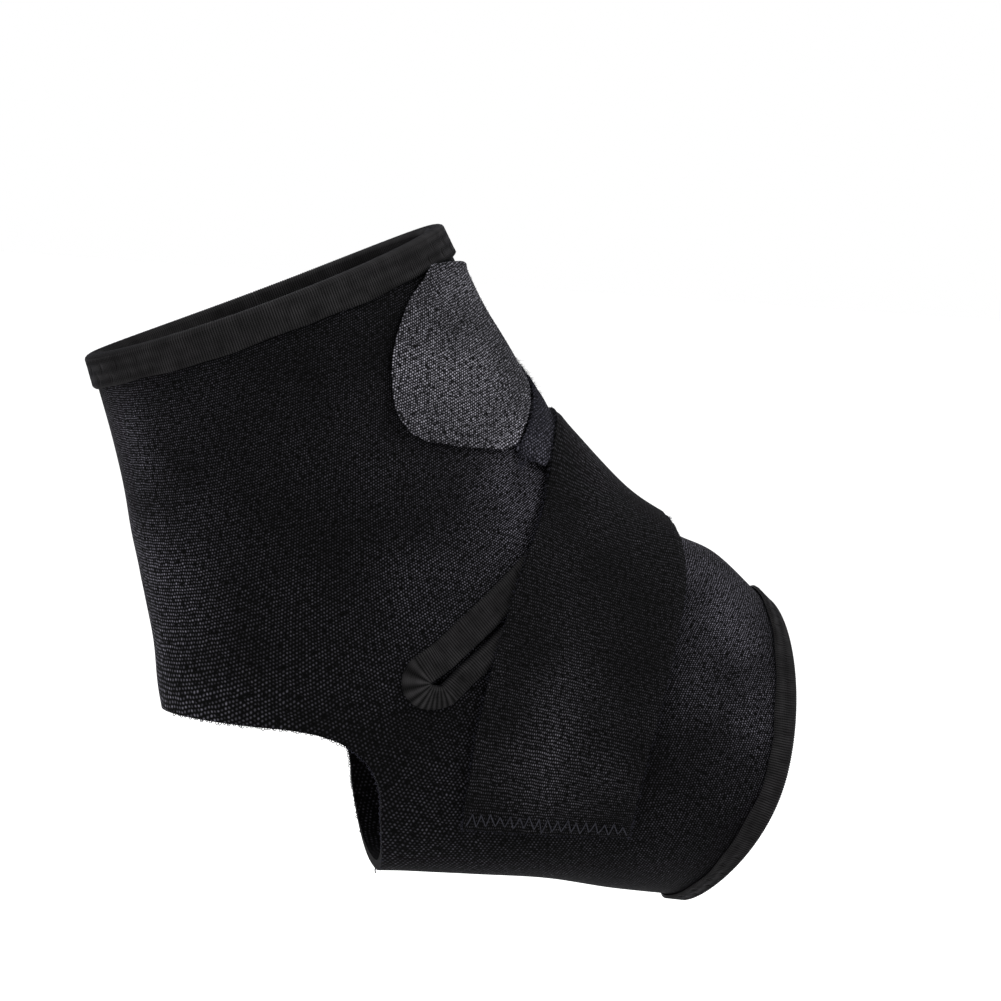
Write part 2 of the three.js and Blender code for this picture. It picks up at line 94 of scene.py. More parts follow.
# Depths and reaches of the soft detail
RIB_HEIGHT = 0.11
RIB_SLANT = 0.25
TAPE_EDGE_DROP = 0.35
TAPE_SPACING = 0.2
FAR_FACE_SHIFT = 12
NEEDLE_DEPTH = 0.62
NEEDLE_LENGTH = 0.75
NEEDLE_WIDTH = 1.0
NEEDLE_ROWS = ((0.0, 0.3), (0.5, 0.72))
LIP_ROLL = 0.8
PUCKER_DEPTH = 0.5
PUCKER_PITCH = 3.4
STRAP_PRESS = 0.9
STRAP_EDGE_ROUND = 0.5
STRAP_FRAY = 0.08
STRAP_SLACK = 0.6
TAB_DOT_HEIGHT = 0.12
TAB_EDGE_ROUND = 0.25
TAB_WAVE = 0.25
TAB_SLACK = 0.15
FLAP_TUFT = 0.16
FLAP_EDGE_ROUND = 0.6
FLAP_FRAY = 0.225
FLAP_SLACK = 0.5
WELD_REACH = 0.01

# Threads: their sides, the count past which they get fewer, and a direction that none of them has
ROUND_SIDES = 5
THIN_SIDES = 3
MANY_THREADS = 1200
ODD_DIRECTION = np.array([0.31, 0.52, 0.79])

# Sections of the sleeve from the top rim to the toes, as shares of the sizes above: front point, back
# point, width, belly, corner powers at the front and the back, crest and bow
SECTION_COLUMNS = [
    "front_x", "front_z", "back_x", "back_z", "width", "belly", "front_round", "back_round", "crest", "bow",
]
SECTIONS = np.array([
    [0.120, 1.000, -1.000, 0.584, 0.98, 0.00, 2.1, 2.10, 0.00, 0.047],
    [0.218, 0.810, -0.902, 0.365, 0.96, 0.00, 2.1, 2.10, 0.00, 0.024],
    [0.296, 0.676, -0.815, 0.129, 0.93, 0.00, 2.1, 2.00, 0.00, 0.000],
    [0.367, 0.564, -0.749, -0.108, 0.91, 0.00, 2.0, 2.00, 0.00, 0.000],
    [0.427, 0.481, -0.685, -0.407, 0.90, 0.02, 2.0, 2.00, 0.02, 0.000],
    [0.486, 0.416, -0.585, -0.701, 0.90, 0.06, 2.0, 2.10, 0.05, 0.000],
    [0.538, 0.361, -0.351, -0.893, 0.90, 0.10, 2.0, 2.20, 0.08, 0.000],
    [0.594, 0.306, -0.023, -0.938, 0.90, 0.14, 2.0, 2.40, 0.12, 0.000],
    [0.645, 0.265, 0.135, -0.938, 0.91, 0.17, 2.0, 2.50, 0.15, 0.000],
    [0.705, 0.228, 0.295, -0.938, 0.94, 0.18, 2.0, 2.50, 0.17, 0.023],
    [0.774, 0.192, 0.470, -0.944, 0.97, 0.16, 2.0, 2.35, 0.18, 0.056],
    [0.871, 0.148, 0.641, -0.976, 0.99, 0.12, 2.0, 2.05, 0.18, 0.097],
    [1.000, 0.021, 0.829, -1.000, 1.00, 0.02, 2.1, 1.70, 0.16, 0.160],
])
LAST_ROW = len(SECTIONS) - 1

# Opening of the slit: place from the front to the end, and share of SLIT_WIDTH
SLIT_OPENING = np.array([[0.00, 1.00], [0.45, 1.00], [0.62, 1.20], [0.82, 1.53], [1.00, 1.27]])

# Middle line of the instep strap: row of the section table, degrees from the front, share of its width
STRAP_ROUTE = np.array([
    [9.30, 127, 0.98],
    [8.92, 108, 1.00],
    [8.62, 92, 1.02],
    [8.10, 66, 1.02],
    [7.42, 40, 1.02],
    [6.62, 20, 1.04],
    [6.25, 0, 1.06],
    [6.62, -20, 1.04],
    [7.42, -40, 1.02],
    [8.10, -66, 1.02],
    [8.62, -92, 1.02],
    [8.92, -108, 1.00],
    [9.30, -127, 0.98],
])

# Outline of the hook tab: place down, seam and free edge, as shares of TAB_HEIGHT and TAB_LENGTH
TAB_OUTLINE = np.array([
    [0.00, -0.27, 0.53],
    [0.08, -0.26, 0.69],
    [0.15, -0.25, 0.78],
    [0.22, -0.23, 0.85],
    [0.30, -0.21, 0.91],
    [0.38, -0.18, 0.95],
    [0.47, -0.14, 0.98],
    [0.56, -0.09, 1.00],
    [0.63, -0.04, 0.995],
    [0.70, 0.01, 0.97],
    [0.77, 0.08, 0.91],
    [0.86, 0.23, 0.77],
    [0.93, 0.35, 0.64],
    [0.99, 0.46, 0.53],
])

# Lower edge of the front flap: place round, negative to the inner side, and place down, as shares
FLAP_OUTLINE = np.array([
    [-1.00, 0.97], [-0.50, 1.00], [-0.10, 1.00], [0.10, 1.04], [0.40, 1.30], [0.78, 1.36], [1.00, 1.20],
])


# Surface of the sleeve's outer face
def blend_rows(table, place):
    """All columns of a table with even rows, at places from 0 to its last row"""
    last = len(table) - 1
    place = np.asarray(place, float)
    row = np.clip(np.floor(place).astype(int), 0, last - 1)
    share = (place - row)[..., None]
    padded = np.vstack([2 * table[0] - table[1], table, 2 * table[-1] - table[-2]])
    before, start, end, after = padded[row], padded[row + 1], padded[row + 2], padded[row + 3]
    bend = 2 * before - 5 * start + 4 * end - after
    twist = 3 * start - before - 3 * end + after
    return 0.5 * (2 * start + (end - before) * share + bend * share ** 2 + twist * share ** 3)


def face_point(place, angle):
    """Outer face at a place from the rim, 0, to the toes, 1, and an angle from the front"""
    place, angle = np.broadcast_arrays(np.asarray(place, float), np.asarray(angle, float))
    row = dict(zip(SECTION_COLUMNS, np.moveaxis(blend_rows(SECTIONS, place * LAST_ROW), -1, 0)))

    def reach(share):
        return share * np.where(share > 0, TOE_REACH, HEEL_REACH)

    def rise(share):
        return share * np.where(share > 0, LEG_RISE, SOLE_DROP)

    front_x, front_z = reach(row["front_x"]), rise(row["front_z"])
    back_x, back_z = reach(row["back_x"]), rise(row["back_z"])
    cos, sin = np.cos(angle), np.sin(angle)
    power = row["back_round"] + (row["front_round"] - row["back_round"]) * (1 + cos) / 2
    radius = (np.abs(cos) ** power + np.abs(sin) ** power) ** (-1 / power)
    along, across = radius * cos, radius * sin
    half_width = row["width"] * (CUFF_WIDTH + (FOREFOOT_WIDTH - CUFF_WIDTH) * place) / 2
    axis_x, axis_z = (front_x - back_x) / 2, (front_z - back_z) / 2
    length = np.hypot(axis_x, axis_z)
    bow = half_width * row["bow"] * across ** 2
    x = (front_x + back_x) / 2 + axis_x * along + axis_z / length * bow
    z = (front_z + back_z) / 2 + axis_z * along - axis_x / length * bow
    y = half_width * (row["crest"] * (1 + along) / 2 - across * (1 - row["belly"] * along))
    return np.stack([x, y, z], -1)


def run_lengths(points):
    """Length along a line of points, from 0 at its first"""
    steps = np.linalg.norm(np.diff(points, axis=0), axis=1)
    return np.concatenate([[0], np.cumsum(steps)])


def unit(vectors):
    """Vectors of length 1"""
    return vectors / np.linalg.norm(vectors, axis=-1, keepdims=True)


def face_slopes(place, angle):
    """Directions down the brace and round it, and the outward normal"""
    step = 1e-4
    down = (face_point(place + step, angle) - face_point(place - step, angle)) / (2 * step)
    around = (face_point(place, angle + step) - face_point(place, angle - step)) / (2 * step)
    return down, around, unit(np.cross(around, down))


def lifted(place, angle, lift):
    """Point that stands off the outer face by lift"""
    normal = face_slopes(place, angle)[2]
    return face_point(place, angle) + normal * np.asarray(lift, float)[..., None]


def dot(one, other):
    return np.sum(one * other, -1)


def walk(place, angle, heading, distance, steps=8):
    """Goes straight over the outer face, as flat cloth laid on it does"""
    place, angle, distance = (np.array(v, float) for v in np.broadcast_arrays(place, angle, distance))
    direction = np.array(np.broadcast_to(heading, place.shape + (3,)), float)
    step = distance / steps
    for _ in range(steps):
        down, around, _normal = face_slopes(place, angle)
        down_square, around_square, mixed = dot(down, down), dot(around, around), dot(down, around)
        on_down, on_around = dot(direction, down) * step, dot(direction, around) * step
        area = down_square * around_square - mixed ** 2
        place += (on_down * around_square - on_around * mixed) / area
        angle += (on_around * down_square - on_down * mixed) / area
        normal = face_slopes(place, angle)[2]
        direction = unit(direction - normal * dot(direction, normal)[..., None])
    return place, angle


def smooth(value, low, high):
    share = np.clip((value - low) / (high - low), 0, 1)
    return share * share * (3 - 2 * share)


def bump_at(value, middle, half):
    """Round bump from 0 to 1 and back, within half of middle"""
    share = np.clip(1 - ((value - middle) / half) ** 2, 0, 1)
    return share * share


# Meshes
def deselect():
    for thing in bpy.context.selected_objects:
        thing.select_set(False)


def only(piece):
    deselect()
    piece.select_set(True)
    bpy.context.view_layer.objects.active = piece


def cloth_grid(name, points, pattern):
    """A flat grid laid at points[row][column], with pattern[row][column] as its place on the flat cloth"""
    rows, columns = points.shape[:2]
    deselect()
    bpy.ops.mesh.primitive_grid_add(x_subdivisions=columns - 1, y_subdivisions=rows - 1, size=1)
    piece = bpy.context.active_object
    piece.name = name
    mesh = piece.data
    start = read_points(mesh)
    column = np.rint((start[:, 0] + 0.5) * (columns - 1)).astype(int)
    row = np.rint((start[:, 1] + 0.5) * (rows - 1)).astype(int)
    mesh.vertices.foreach_set("co", (points[row, column] * MM).ravel())
    corner = np.zeros(len(mesh.loops), int)
    mesh.loops.foreach_get("vertex_index", corner)
    layer = mesh.uv_layers[0]
    layer.name = "cloth"
    layer.data.foreach_set("uv", (pattern[row, column][corner] * MM).ravel())
    mesh.update()
    return piece


def face_out(piece, spot_normal):
    """Turns a sheet's faces outward, which spot_normal gives for a spot in the sheet's middle"""
    mesh = piece.data
    middle = mesh.polygons[len(mesh.polygons) // 2]
    if np.dot(np.array(middle.normal), spot_normal(np.array(middle.center) / MM)) < 0:
        mesh.flip_normals()


def apply_modifier(piece, kind, **settings):
    only(piece)
    modifier = piece.modifiers.new(kind.lower(), kind)
    for key, value in settings.items():
        setattr(modifier, key, value)
    bpy.ops.object.modifier_apply(modifier=modifier.name)


def weld(piece):
    only(piece)
    bpy.ops.object.mode_set(mode="EDIT")
    bpy.ops.mesh.select_all(action="SELECT")
    bpy.ops.mesh.remove_doubles(threshold=WELD_REACH * MM)
    bpy.ops.object.mode_set(mode="OBJECT")


def turn_outward(piece):
    only(piece)
    bpy.ops.object.mode_set(mode="EDIT")
    bpy.ops.mesh.select_all(action="SELECT")
    bpy.ops.mesh.normals_make_consistent(inside=False)
    bpy.ops.object.mode_set(mode="OBJECT")


def soften(piece, degrees=50):
    only(piece)
    bpy.ops.object.shade_smooth_by_angle(angle=degrees * DEGREE)


def mesh_piece(name, points, faces):
    mesh = bpy.data.meshes.new(name)
    mesh.from_pydata((np.asarray(points) * MM).tolist(), [], faces)
    mesh.update()
    piece = bpy.data.objects.new(name, mesh)
    bpy.context.scene.collection.objects.link(piece)
    return piece


def read_points(mesh):
    """The mesh's points in metres, one row each"""
    points = np.zeros(len(mesh.vertices) * 3)
    mesh.vertices.foreach_get("co", points)
    return points.reshape(-1, 3)


def threads(name, paths, thick):
    """One mesh of many thin threads, each a path of points; long lists get fewer sides"""
    paths = np.asarray(paths)
    thick = np.broadcast_to(thick, paths.shape[:2])
    count, steps = paths.shape[:2]
    sides = ROUND_SIDES if count < MANY_THREADS else THIN_SIDES
    along = unit(np.gradient(paths, axis=1))
    side = unit(np.cross(along, ODD_DIRECTION))
    other = np.cross(along, side)
    turn = np.arange(sides) * 2 * math.pi / sides
    circle = side[:, :, None] * np.cos(turn)[:, None] + other[:, :, None] * np.sin(turn)[:, None]
    points = paths[:, :, None] + circle * (thick / 2)[..., None, None]
    index = np.arange(count * steps * sides).reshape(count, steps, sides)
    nearby = np.roll(index, -1, axis=2)
    walls = np.stack([index[:, :-1], nearby[:, :-1], nearby[:, 1:], index[:, 1:]], -1).reshape(-1, 4)
    caps = np.concatenate([index[:, 0, ::-1], index[:, -1]])
    piece = mesh_piece(name, points.reshape(-1, 3), walls.tolist() + caps.tolist())
    piece.data.shade_smooth()
    return piece


# Camera at the photograph's viewing angle
def add_camera():
    azimuth, elevation, roll = -10 * DEGREE, 4 * DEGREE, 4 * DEGREE
    distance, lens, aside, above = 1.0, 120, 0.0412, 0.0268
    cos, sin = math.cos, math.sin
    back = Vector((sin(azimuth) * cos(elevation), -cos(azimuth) * cos(elevation), sin(elevation)))
    level = Vector((cos(azimuth), sin(azimuth), 0))
    up = back.cross(level)
    right = level * cos(roll) + up * sin(roll)
    rise = up * cos(roll) - level * sin(roll)
    deselect()
    bpy.ops.object.camera_add()
    camera = bpy.context.active_object
    camera.data.lens = lens
    camera.data.sensor_width = 36
    place = back * distance + right * aside + rise * above
    camera.matrix_world = Matrix.Translation(place) @ Matrix((right, rise, back)).transposed().to_4x4()
    bpy.context.scene.camera = camera


# Uneven tone of the cloths, in patches a metre: rows drift over 4 mm, specks are 1 mm, patches 22 mm,
# patches of the painted rib highlight on tape 5 mm and change along a thread 0.7 mm
ROW_DRIFT_SCALE = 260.0
SPECK_SCALE = 900.0
PATCH_SCALE = 45.0
TAPE_RIB_PATCH_SCALE = 180.0
THREAD_SCALE = 1400.0
ROW_DRIFT = 0.9
TAPE_THREAD = 0.5
# Gain of the painted sheen, the spots of painted highlight on the knit
PAINTED_SHEEN_GAIN = 2.4
SPECK_CONTRAST = (3.6, -0.95)


# Colours and nodes
def colour(code):
    """Turns an sRGB hex value to linear"""
    parts = [int(code[i:i + 2], 16) / 255 for i in (1, 3, 5)]
    return [*[p / 12.92 if p <= 0.04045 else ((p + 0.055) / 1.055) ** 2.4 for p in parts], 1.0]


def node(tree, kind, settings=None, **inputs):
    """Adds a node; inputs are values, or (node, output) links, by socket name with _ for a space"""
    made = tree.nodes.new("ShaderNode" + kind)
    for key, value in (settings or {}).items():
        setattr(made, key, value)
    for key, value in inputs.items():
        socket = made.inputs[int(key[1:])] if key[0] == "_" else made.inputs[key.replace("_", " ")]
        if isinstance(value, tuple) and isinstance(value[0], bpy.types.Node):
            tree.links.new(value[0].outputs[value[1]], socket)
        else:
            socket.default_value = value
    return made


def math_node(tree, operation, one, other=0.0, third=0.0):
    return node(tree, "Math", {"operation": operation}, _0=one, _1=other, _2=third)


def new_material(name):
    material = bpy.data.materials.new(name)
    material.use_nodes = True
    tree = material.node_tree
    tree.nodes.clear()
    return material, tree


def cloth_shader(tree, tone, height, roughness, sheen, sheen_tint, bump_mm):
    """Dull polyester or nylon: hardly any gloss, and a faint cool sheen from its fibres"""
    bump = node(tree, "Bump", Strength=1.0, Distance=bump_mm * MM, Height=height)
    shader = node(
        tree, "BsdfPrincipled", Base_Color=tone, Roughness=roughness, IOR=1.45,
        Specular_IOR_Level=0.03, Sheen_Weight=sheen, Sheen_Roughness=0.35,
        Sheen_Tint=colour(sheen_tint), Normal=(bump, "Normal"),
    )
    output = node(tree, "OutputMaterial")
    tree.links.new(shader.outputs["BSDF"], output.inputs["Surface"])


def blend_tones(tree, share, dark, light):
    """Mixes two sRGB tones by a node's share"""
    return node(tree, "Mix", {"data_type": "RGBA"}, _0=share, _6=colour(dark), _7=colour(light))


def cloth_noise(tree, uv, scale, detail):
    """Noise over the flat cloth; the scale is in patches a metre"""
    return node(tree, "TexNoise", {"noise_dimensions": "2D"}, Vector=(uv, "UV"), Scale=scale, Detail=detail)


def wave(tree, coordinate, pitch_mm, phase=0.0):
    """Cosine ripple from 0 to 1 along a coordinate in metres"""
    turns = math_node(tree, "MULTIPLY", coordinate, 2 * math.pi / (pitch_mm * MM))
    shifted = math_node(tree, "ADD", (turns, 0), phase)
    ripple = math_node(tree, "COSINE", (shifted, 0))
    half = math_node(tree, "MULTIPLY", (ripple, 0), 0.5)
    return math_node(tree, "ADD", (half, 0), 0.5)


def knit_material(name, dark, light, wale_mm, course_mm, sheen, bump_mm, depth=1.6, plain=0.24):
    """Knit face: rows of small loops in a brick pattern, each crown lighter as a painted highlight with
    painted shade in the gap round it.
    Where the painted sheen attribute is high the crowns are painted lighter still, a painted sheen."""
    material, tree = new_material(name)
    uv = node(tree, "UVMap", {"uv_map": "cloth"})
    drift = cloth_noise(tree, uv, ROW_DRIFT_SCALE, 2.0)
    shift = math_node(tree, "MULTIPLY", (drift, "Fac"), ROW_DRIFT * MM)
    parts = node(tree, "SeparateXYZ", Vector=(uv, "UV"))
    across = math_node(tree, "ADD", (parts, "X"), (shift, 0))
    down = math_node(tree, "ADD", (parts, "Y"), (shift, 0))
    rows = math_node(tree, "DIVIDE", (down, 0), course_mm * MM)
    odd = math_node(tree, "FLOOR", (rows, 0))
    brick = math_node(tree, "MULTIPLY", (odd, 0), wale_mm * MM / 2)
    staggered = math_node(tree, "ADD", (across, 0), (brick, 0))
    wale = wave(tree, (staggered, 0), wale_mm)
    course = wave(tree, (down, 0), course_mm, math.pi)
    crown = math_node(tree, "MULTIPLY", (wale, 0), (course, 0))
    loop = math_node(tree, "POWER", (crown, 0), depth)
    speck = cloth_noise(tree, uv, SPECK_SCALE, 1.0)
    patch = cloth_noise(tree, uv, PATCH_SCALE, 3.0)
    # Painted sheen: an attribute that lightens the loop crowns as a painted highlight
    nap = node(tree, "Attribute", {"attribute_name": "nap"})
    uneven_painted_sheen = math_node(tree, "MULTIPLY", (nap, "Fac"), (patch, "Fac"))
    lit = math_node(tree, "MULTIPLY", (uneven_painted_sheen, 0), PAINTED_SHEEN_GAIN)
    base = math_node(tree, "MULTIPLY_ADD", (patch, "Fac"), plain, 0.02)
    gain = math_node(tree, "ADD", (base, 0), (lit, 0))
    grain = math_node(tree, "MULTIPLY_ADD", (speck, "Fac"), *SPECK_CONTRAST)
    bright = math_node(tree, "MULTIPLY", (gain, 0), (grain, 0))
    share = node(tree, "Math", {"operation": "MULTIPLY", "use_clamp": True}, _0=(loop, 0), _1=(bright, 0))
    # The light tone on the loop crowns is painted highlight and the dark tone in the gaps painted shade
    tones = blend_tones(tree, (share, 0), dark, light)
    cloth_shader(tree, (tones, 2), (loop, 0), 0.85, sheen, "#bcbccc", bump_mm)
    return material


def tape_material(name, dark, light):
    """Woven polyester tape: its ribs are in the mesh, and the colour adds a painted highlight on each rib,
    stronger and weaker in patches, and fine threads
    """
    material, tree = new_material(name)
    uv = node(tree, "UVMap", {"uv_map": "cloth"})
    parts = node(tree, "SeparateXYZ", Vector=(uv, "UV"))
    # Painted highlight along each rib, made patchy by a noise
    rib = wave(tree, (parts, "X"), TAPE_RIB)
    fine = wave(tree, (parts, "Y"), TAPE_THREAD)
    rib_highlight_patch = cloth_noise(tree, uv, TAPE_RIB_PATCH_SCALE, 3.0)
    patchy_rib_highlight = math_node(tree, "MULTIPLY", (rib, 0), (rib_highlight_patch, "Fac"))
    share = math_node(tree, "MULTIPLY_ADD", (fine, 0), 0.12, (patchy_rib_highlight, 0))
    tones = blend_tones(tree, (share, 0), dark, light)
    cloth_shader(tree, (tones, 2), (fine, 0), 0.7, 0.05, "#c8c8d8", 0.05)
    return material


def thread_material(name, code, sheen=0.05):
    """Spun thread or loose fibre: one dark tone with a faint change along it"""
    material, tree = new_material(name)
    spot = node(tree, "TexCoord")
    change = node(tree, "TexNoise", Vector=(spot, "Object"), Scale=THREAD_SCALE, Detail=1.0)
    tones = blend_tones(tree, (change, "Fac"), "#08080a", code)
    cloth_shader(tree, (tones, 2), (change, "Fac"), 0.7, sheen, "#c8c8e0", 0.02)
    return material


def floor_material():
    """Matt white studio paper, lit enough to show as plain white"""
    material, tree = new_material("studio_paper")
    spot = node(tree, "TexCoord")
    grain = node(tree, "TexNoise", Vector=(spot, "Object"), Scale=800.0)
    bump = node(tree, "Bump", Strength=0.05, Distance=0.0002, Height=(grain, "Fac"))
    shader = node(
        tree, "BsdfPrincipled", Base_Color=colour("#fdfdfd"), Roughness=0.95, Normal=(bump, "Normal"),
        Emission_Color=colour("#ffffff"), Emission_Strength=0.12,
    )
    output = node(tree, "OutputMaterial")
    tree.links.new(shader.outputs["BSDF"], output.inputs["Surface"])
    return material


# Sleeve
# Soft dents and folds of the neoprene: row of the section table, degrees, half length and half width in
# millimetres, height, and the direction of the fold in degrees from round the brace
FOLDS = [
    [5.2, 100, 16, 4, -0.7, 35],
    [5.0, 112, 14, 4, 0.6, 20],
    [6.6, 104, 12, 3, -0.7, -50],
    [6.9, 112, 14, 4, 0.5, -35],
    [2.2, 95, 40, 12, -0.5, 10],
    [3.4, 80, 30, 10, 0.6, 15],
    [4.6, 62, 26, 9, 0.7, 30],
    [3.6, 128, 34, 10, 0.5, 70],
    [10.4, 96, 26, 7, 0.5, 60],
    [10.9, 70, 22, 7, -0.5, 40],
    [9.6, 20, 20, 6, 0.5, 0],
    [3.0, -90, 40, 12, -0.6, 5],
    [6.0, -100, 30, 10, 0.6, 30],
    [10.0, -90, 30, 10, -0.6, 60],
    [2.0, 180, 40, 10, 0.6, 5],
    [3.4, 180, 40, 9, -0.6, 5],
]

# Painted sheen: places where the knit is drawn lighter, a painted highlight for light that falls on it and
# shines off it: row, degrees, radius in millimetres, strength
PAINTED_SHEEN_SPOTS = [
    [4.7, 47, 15, 0.75],
    [4.0, 30, 12, 0.45],
    [5.2, 78, 14, 0.30],
    [10.2, 22, 20, 0.50],
    [10.8, 52, 17, 0.48],
    [9.2, 8, 16, 0.45],
    [11.4, 75, 14, 0.30],
    [2.2, 178, 24, 0.50],
    [4.0, 170, 26, 0.50],
    [1.0, 170, 20, 0.35],
    [2.5, 60, 18, 0.12],
    [10.4, -40, 26, 0.4],
    [3.5, -60, 30, 0.3],
]

# The same painted sheen for the strap
STRAP_PAINTED_SHEEN_SPOTS = [
    [8.85, 104, 15, 0.26],
    [8.65, 88, 12, 0.20],
    [8.9, -104, 20, 0.35],
    [6.6, 0, 20, 0.10],
]

# How far a fold reaches through the brace, so that it stays on its own side
FOLD_DEPTH_REACH = 25


def face_frame(row, degrees):
    """Spot on the face with its directions round the brace, down it and out of it"""
    place, angle = row / LAST_ROW, degrees * DEGREE
    spot = face_point(place, angle)
    _down, around, normal = face_slopes(place, angle)
    return spot, unit(around), unit(np.cross(normal, around)), normal


def fold_heights(points):
    """Height of the soft folds at points near the outer face"""
    height = np.zeros(points.shape[:-1])
    for row, degrees, half_length, half_width, rise, turn in FOLDS:
        spot, around, down, normal = face_frame(row, degrees)
        offset = points - spot
        along = dot(offset, around * math.cos(turn * DEGREE) + down * math.sin(turn * DEGREE))
        aside = dot(offset, down * math.cos(turn * DEGREE) - around * math.sin(turn * DEGREE))
        off_face = dot(offset, normal)
        far = (along / half_length) ** 2 + (aside / half_width) ** 2 + (off_face / FOLD_DEPTH_REACH) ** 2
        height += rise * np.exp(-far)
    return height


def painted_sheen_at(points, table):
    """Strength of the painted sheen at points"""
    value = np.zeros(points.shape[:-1])
    for row, degrees, radius, strength in table:
        spot = face_frame(row, degrees)[0]
        value += strength * np.exp(-(np.linalg.norm(points - spot, axis=-1) / radius) ** 2)
    return value


# Stores the painted sheen, spots of painted highlight, as a point attribute
def set_painted_sheen(piece, table):
    mesh = piece.data
    values = painted_sheen_at(read_points(mesh) / MM, table)
    attribute = mesh.attributes.new("nap", "FLOAT", "POINT")
    attribute.data.foreach_set("value", values.astype(np.float32))


# Reach of the cutters past what they cut
CUT_MARGIN = 20
CUT_SIDE = 80.0


def heel_outline():
    """Edge of the heel opening seen from the side, from the back to the sole, in x and z"""
    curve = np.linspace(0, 1, 24)[:, None]
    start = np.array([HEEL_TOP_REACH, -HEEL_TOP_DROP])
    corner = np.array([HEEL_FRONT_REACH, -HEEL_TOP_DROP])
    end = np.array([HEEL_FRONT_REACH, -HEEL_CURVE_DROP])
    bend = (1 - curve) ** 2 * start + 2 * curve * (1 - curve) * corner + curve ** 2 * end
    return np.vstack([[-HEEL_REACH - CUT_MARGIN, -HEEL_TOP_DROP], bend, [HEEL_SOLE_REACH, -SOLE_DROP]])


def in_heel(x, z, margin):
    """True well inside the heel opening"""
    top, front = -HEEL_TOP_DROP - margin, HEEL_FRONT_REACH - margin
    radius = HEEL_CURVE_DROP - HEEL_TOP_DROP
    round_corner = (x - HEEL_TOP_REACH) ** 2 + (z + HEEL_CURVE_DROP) ** 2 < radius ** 2
    near_corner = (x > HEEL_TOP_REACH - 6) & (z > -HEEL_CURVE_DROP) & ~round_corner
    return (z < top) & (x < front) & ~near_corner


def slit_half(share):
    """Half the slit's width at a share of the way from its middle to its end"""
    return SLIT_WIDTH / 2 * np.interp(share, SLIT_OPENING[:, 0], SLIT_OPENING[:, 1])


def slit_place(angle):
    """Place of the slit's middle line, which bends up to its ends"""
    share = (angle / (SLIT_END_DEGREES * DEGREE)) ** 2
    return (SLIT_ROW_FRONT + (SLIT_ROW_SIDE - SLIT_ROW_FRONT) * share) / LAST_ROW


def beside_slit(angle, offset):
    place = slit_place(angle)
    down = face_slopes(place, angle)[0]
    return place + offset / np.linalg.norm(down, axis=-1)


def slit_edge():
    """The slit's edge as one closed line: angle, offset from its middle line and turn, 1 to 0 to -1"""
    angles = np.linspace(0, SLIT_END_DEGREES * DEGREE, 400)
    lengths = run_lengths(face_point(slit_place(angles), angles))
    radius = slit_half(1)
    straight = lengths[-1] - radius
    along = np.linspace(0, straight, 200)
    end_turn = np.linspace(0, 90, 14)[1:] * DEGREE
    length = np.concatenate([along, straight + radius * np.sin(end_turn)])
    half = np.concatenate([slit_half(along / straight), radius * np.cos(end_turn)])
    turn = np.concatenate([np.ones(len(along)), np.cos(end_turn)])
    angle = np.interp(np.minimum(length, lengths[-1]), lengths, angles)
    angle_all = np.concatenate([-angle[::-1], angle[1:], angle[-2::-1], -angle[1:-1]])
    half_all = np.concatenate([-half[::-1], -half[1:], half[-2::-1], half[1:-1]])
    turn_all = np.concatenate([-turn[::-1], -turn[1:], turn[-2::-1], turn[1:-1]])
    return angle_all, half_all, turn_all


def heel_cutter():
    """Solid that fills the heel opening and reaches past the brace"""
    line = heel_outline()
    below = -SOLE_DROP - CUT_MARGIN
    line = np.vstack([line, [HEEL_SOLE_REACH, below], [-HEEL_REACH - CUT_MARGIN, below]])
    count = len(line)
    near = np.column_stack([line[:, 0], np.full(count, -CUT_SIDE), line[:, 1]])
    far = near + np.array([0, 2 * CUT_SIDE, 0])
    faces = [list(range(count)), list(range(2 * count - 1, count - 1, -1))]
    faces += [[i, count + i, count + (i + 1) % count, (i + 1) % count] for i in range(count)]
    return cutter("heel_cutter", np.vstack([near, far]), faces)


def slit_cutter():
    """Solid along the slit that reaches past both faces of the wall"""
    angles = np.linspace(-SLIT_END_DEGREES, SLIT_END_DEGREES, 161) * DEGREE
    share = np.abs(angles) / (SLIT_END_DEGREES * DEGREE)
    at_end = share > 0.985
    half = np.where(at_end, 0.6, slit_half(share))
    margin = 1.5
    corners = [(-1, margin), (1, margin), (1, -WALL - margin), (-1, -WALL - margin)]
    rings = [
        lifted(beside_slit(angles, side * half), angles, np.full(len(angles), lift))
        for side, lift in corners
    ]
    points = np.stack(rings, 1).reshape(-1, 3)
    last = len(points) - 1
    faces = [[0, 1, 2, 3], [last, last - 1, last - 2, last - 3]]
    for station in range(len(angles) - 1):
        for side in range(4):
            a, b = station * 4 + side, station * 4 + (side + 1) % 4
            faces.append([a, a + 4, b + 4, b])
    return cutter("slit_cutter", points, faces)


def cutter(name, points, faces):
    """Closed solid for a cut"""
    piece = mesh_piece(name, points, faces)
    turn_outward(piece)
    return piece


def cut(piece, tool):
    """Takes the tool's solid out of the piece and removes the tool"""
    apply_modifier(piece, "BOOLEAN", object=tool, operation="DIFFERENCE", solver="EXACT")
    bpy.data.objects.remove(tool)


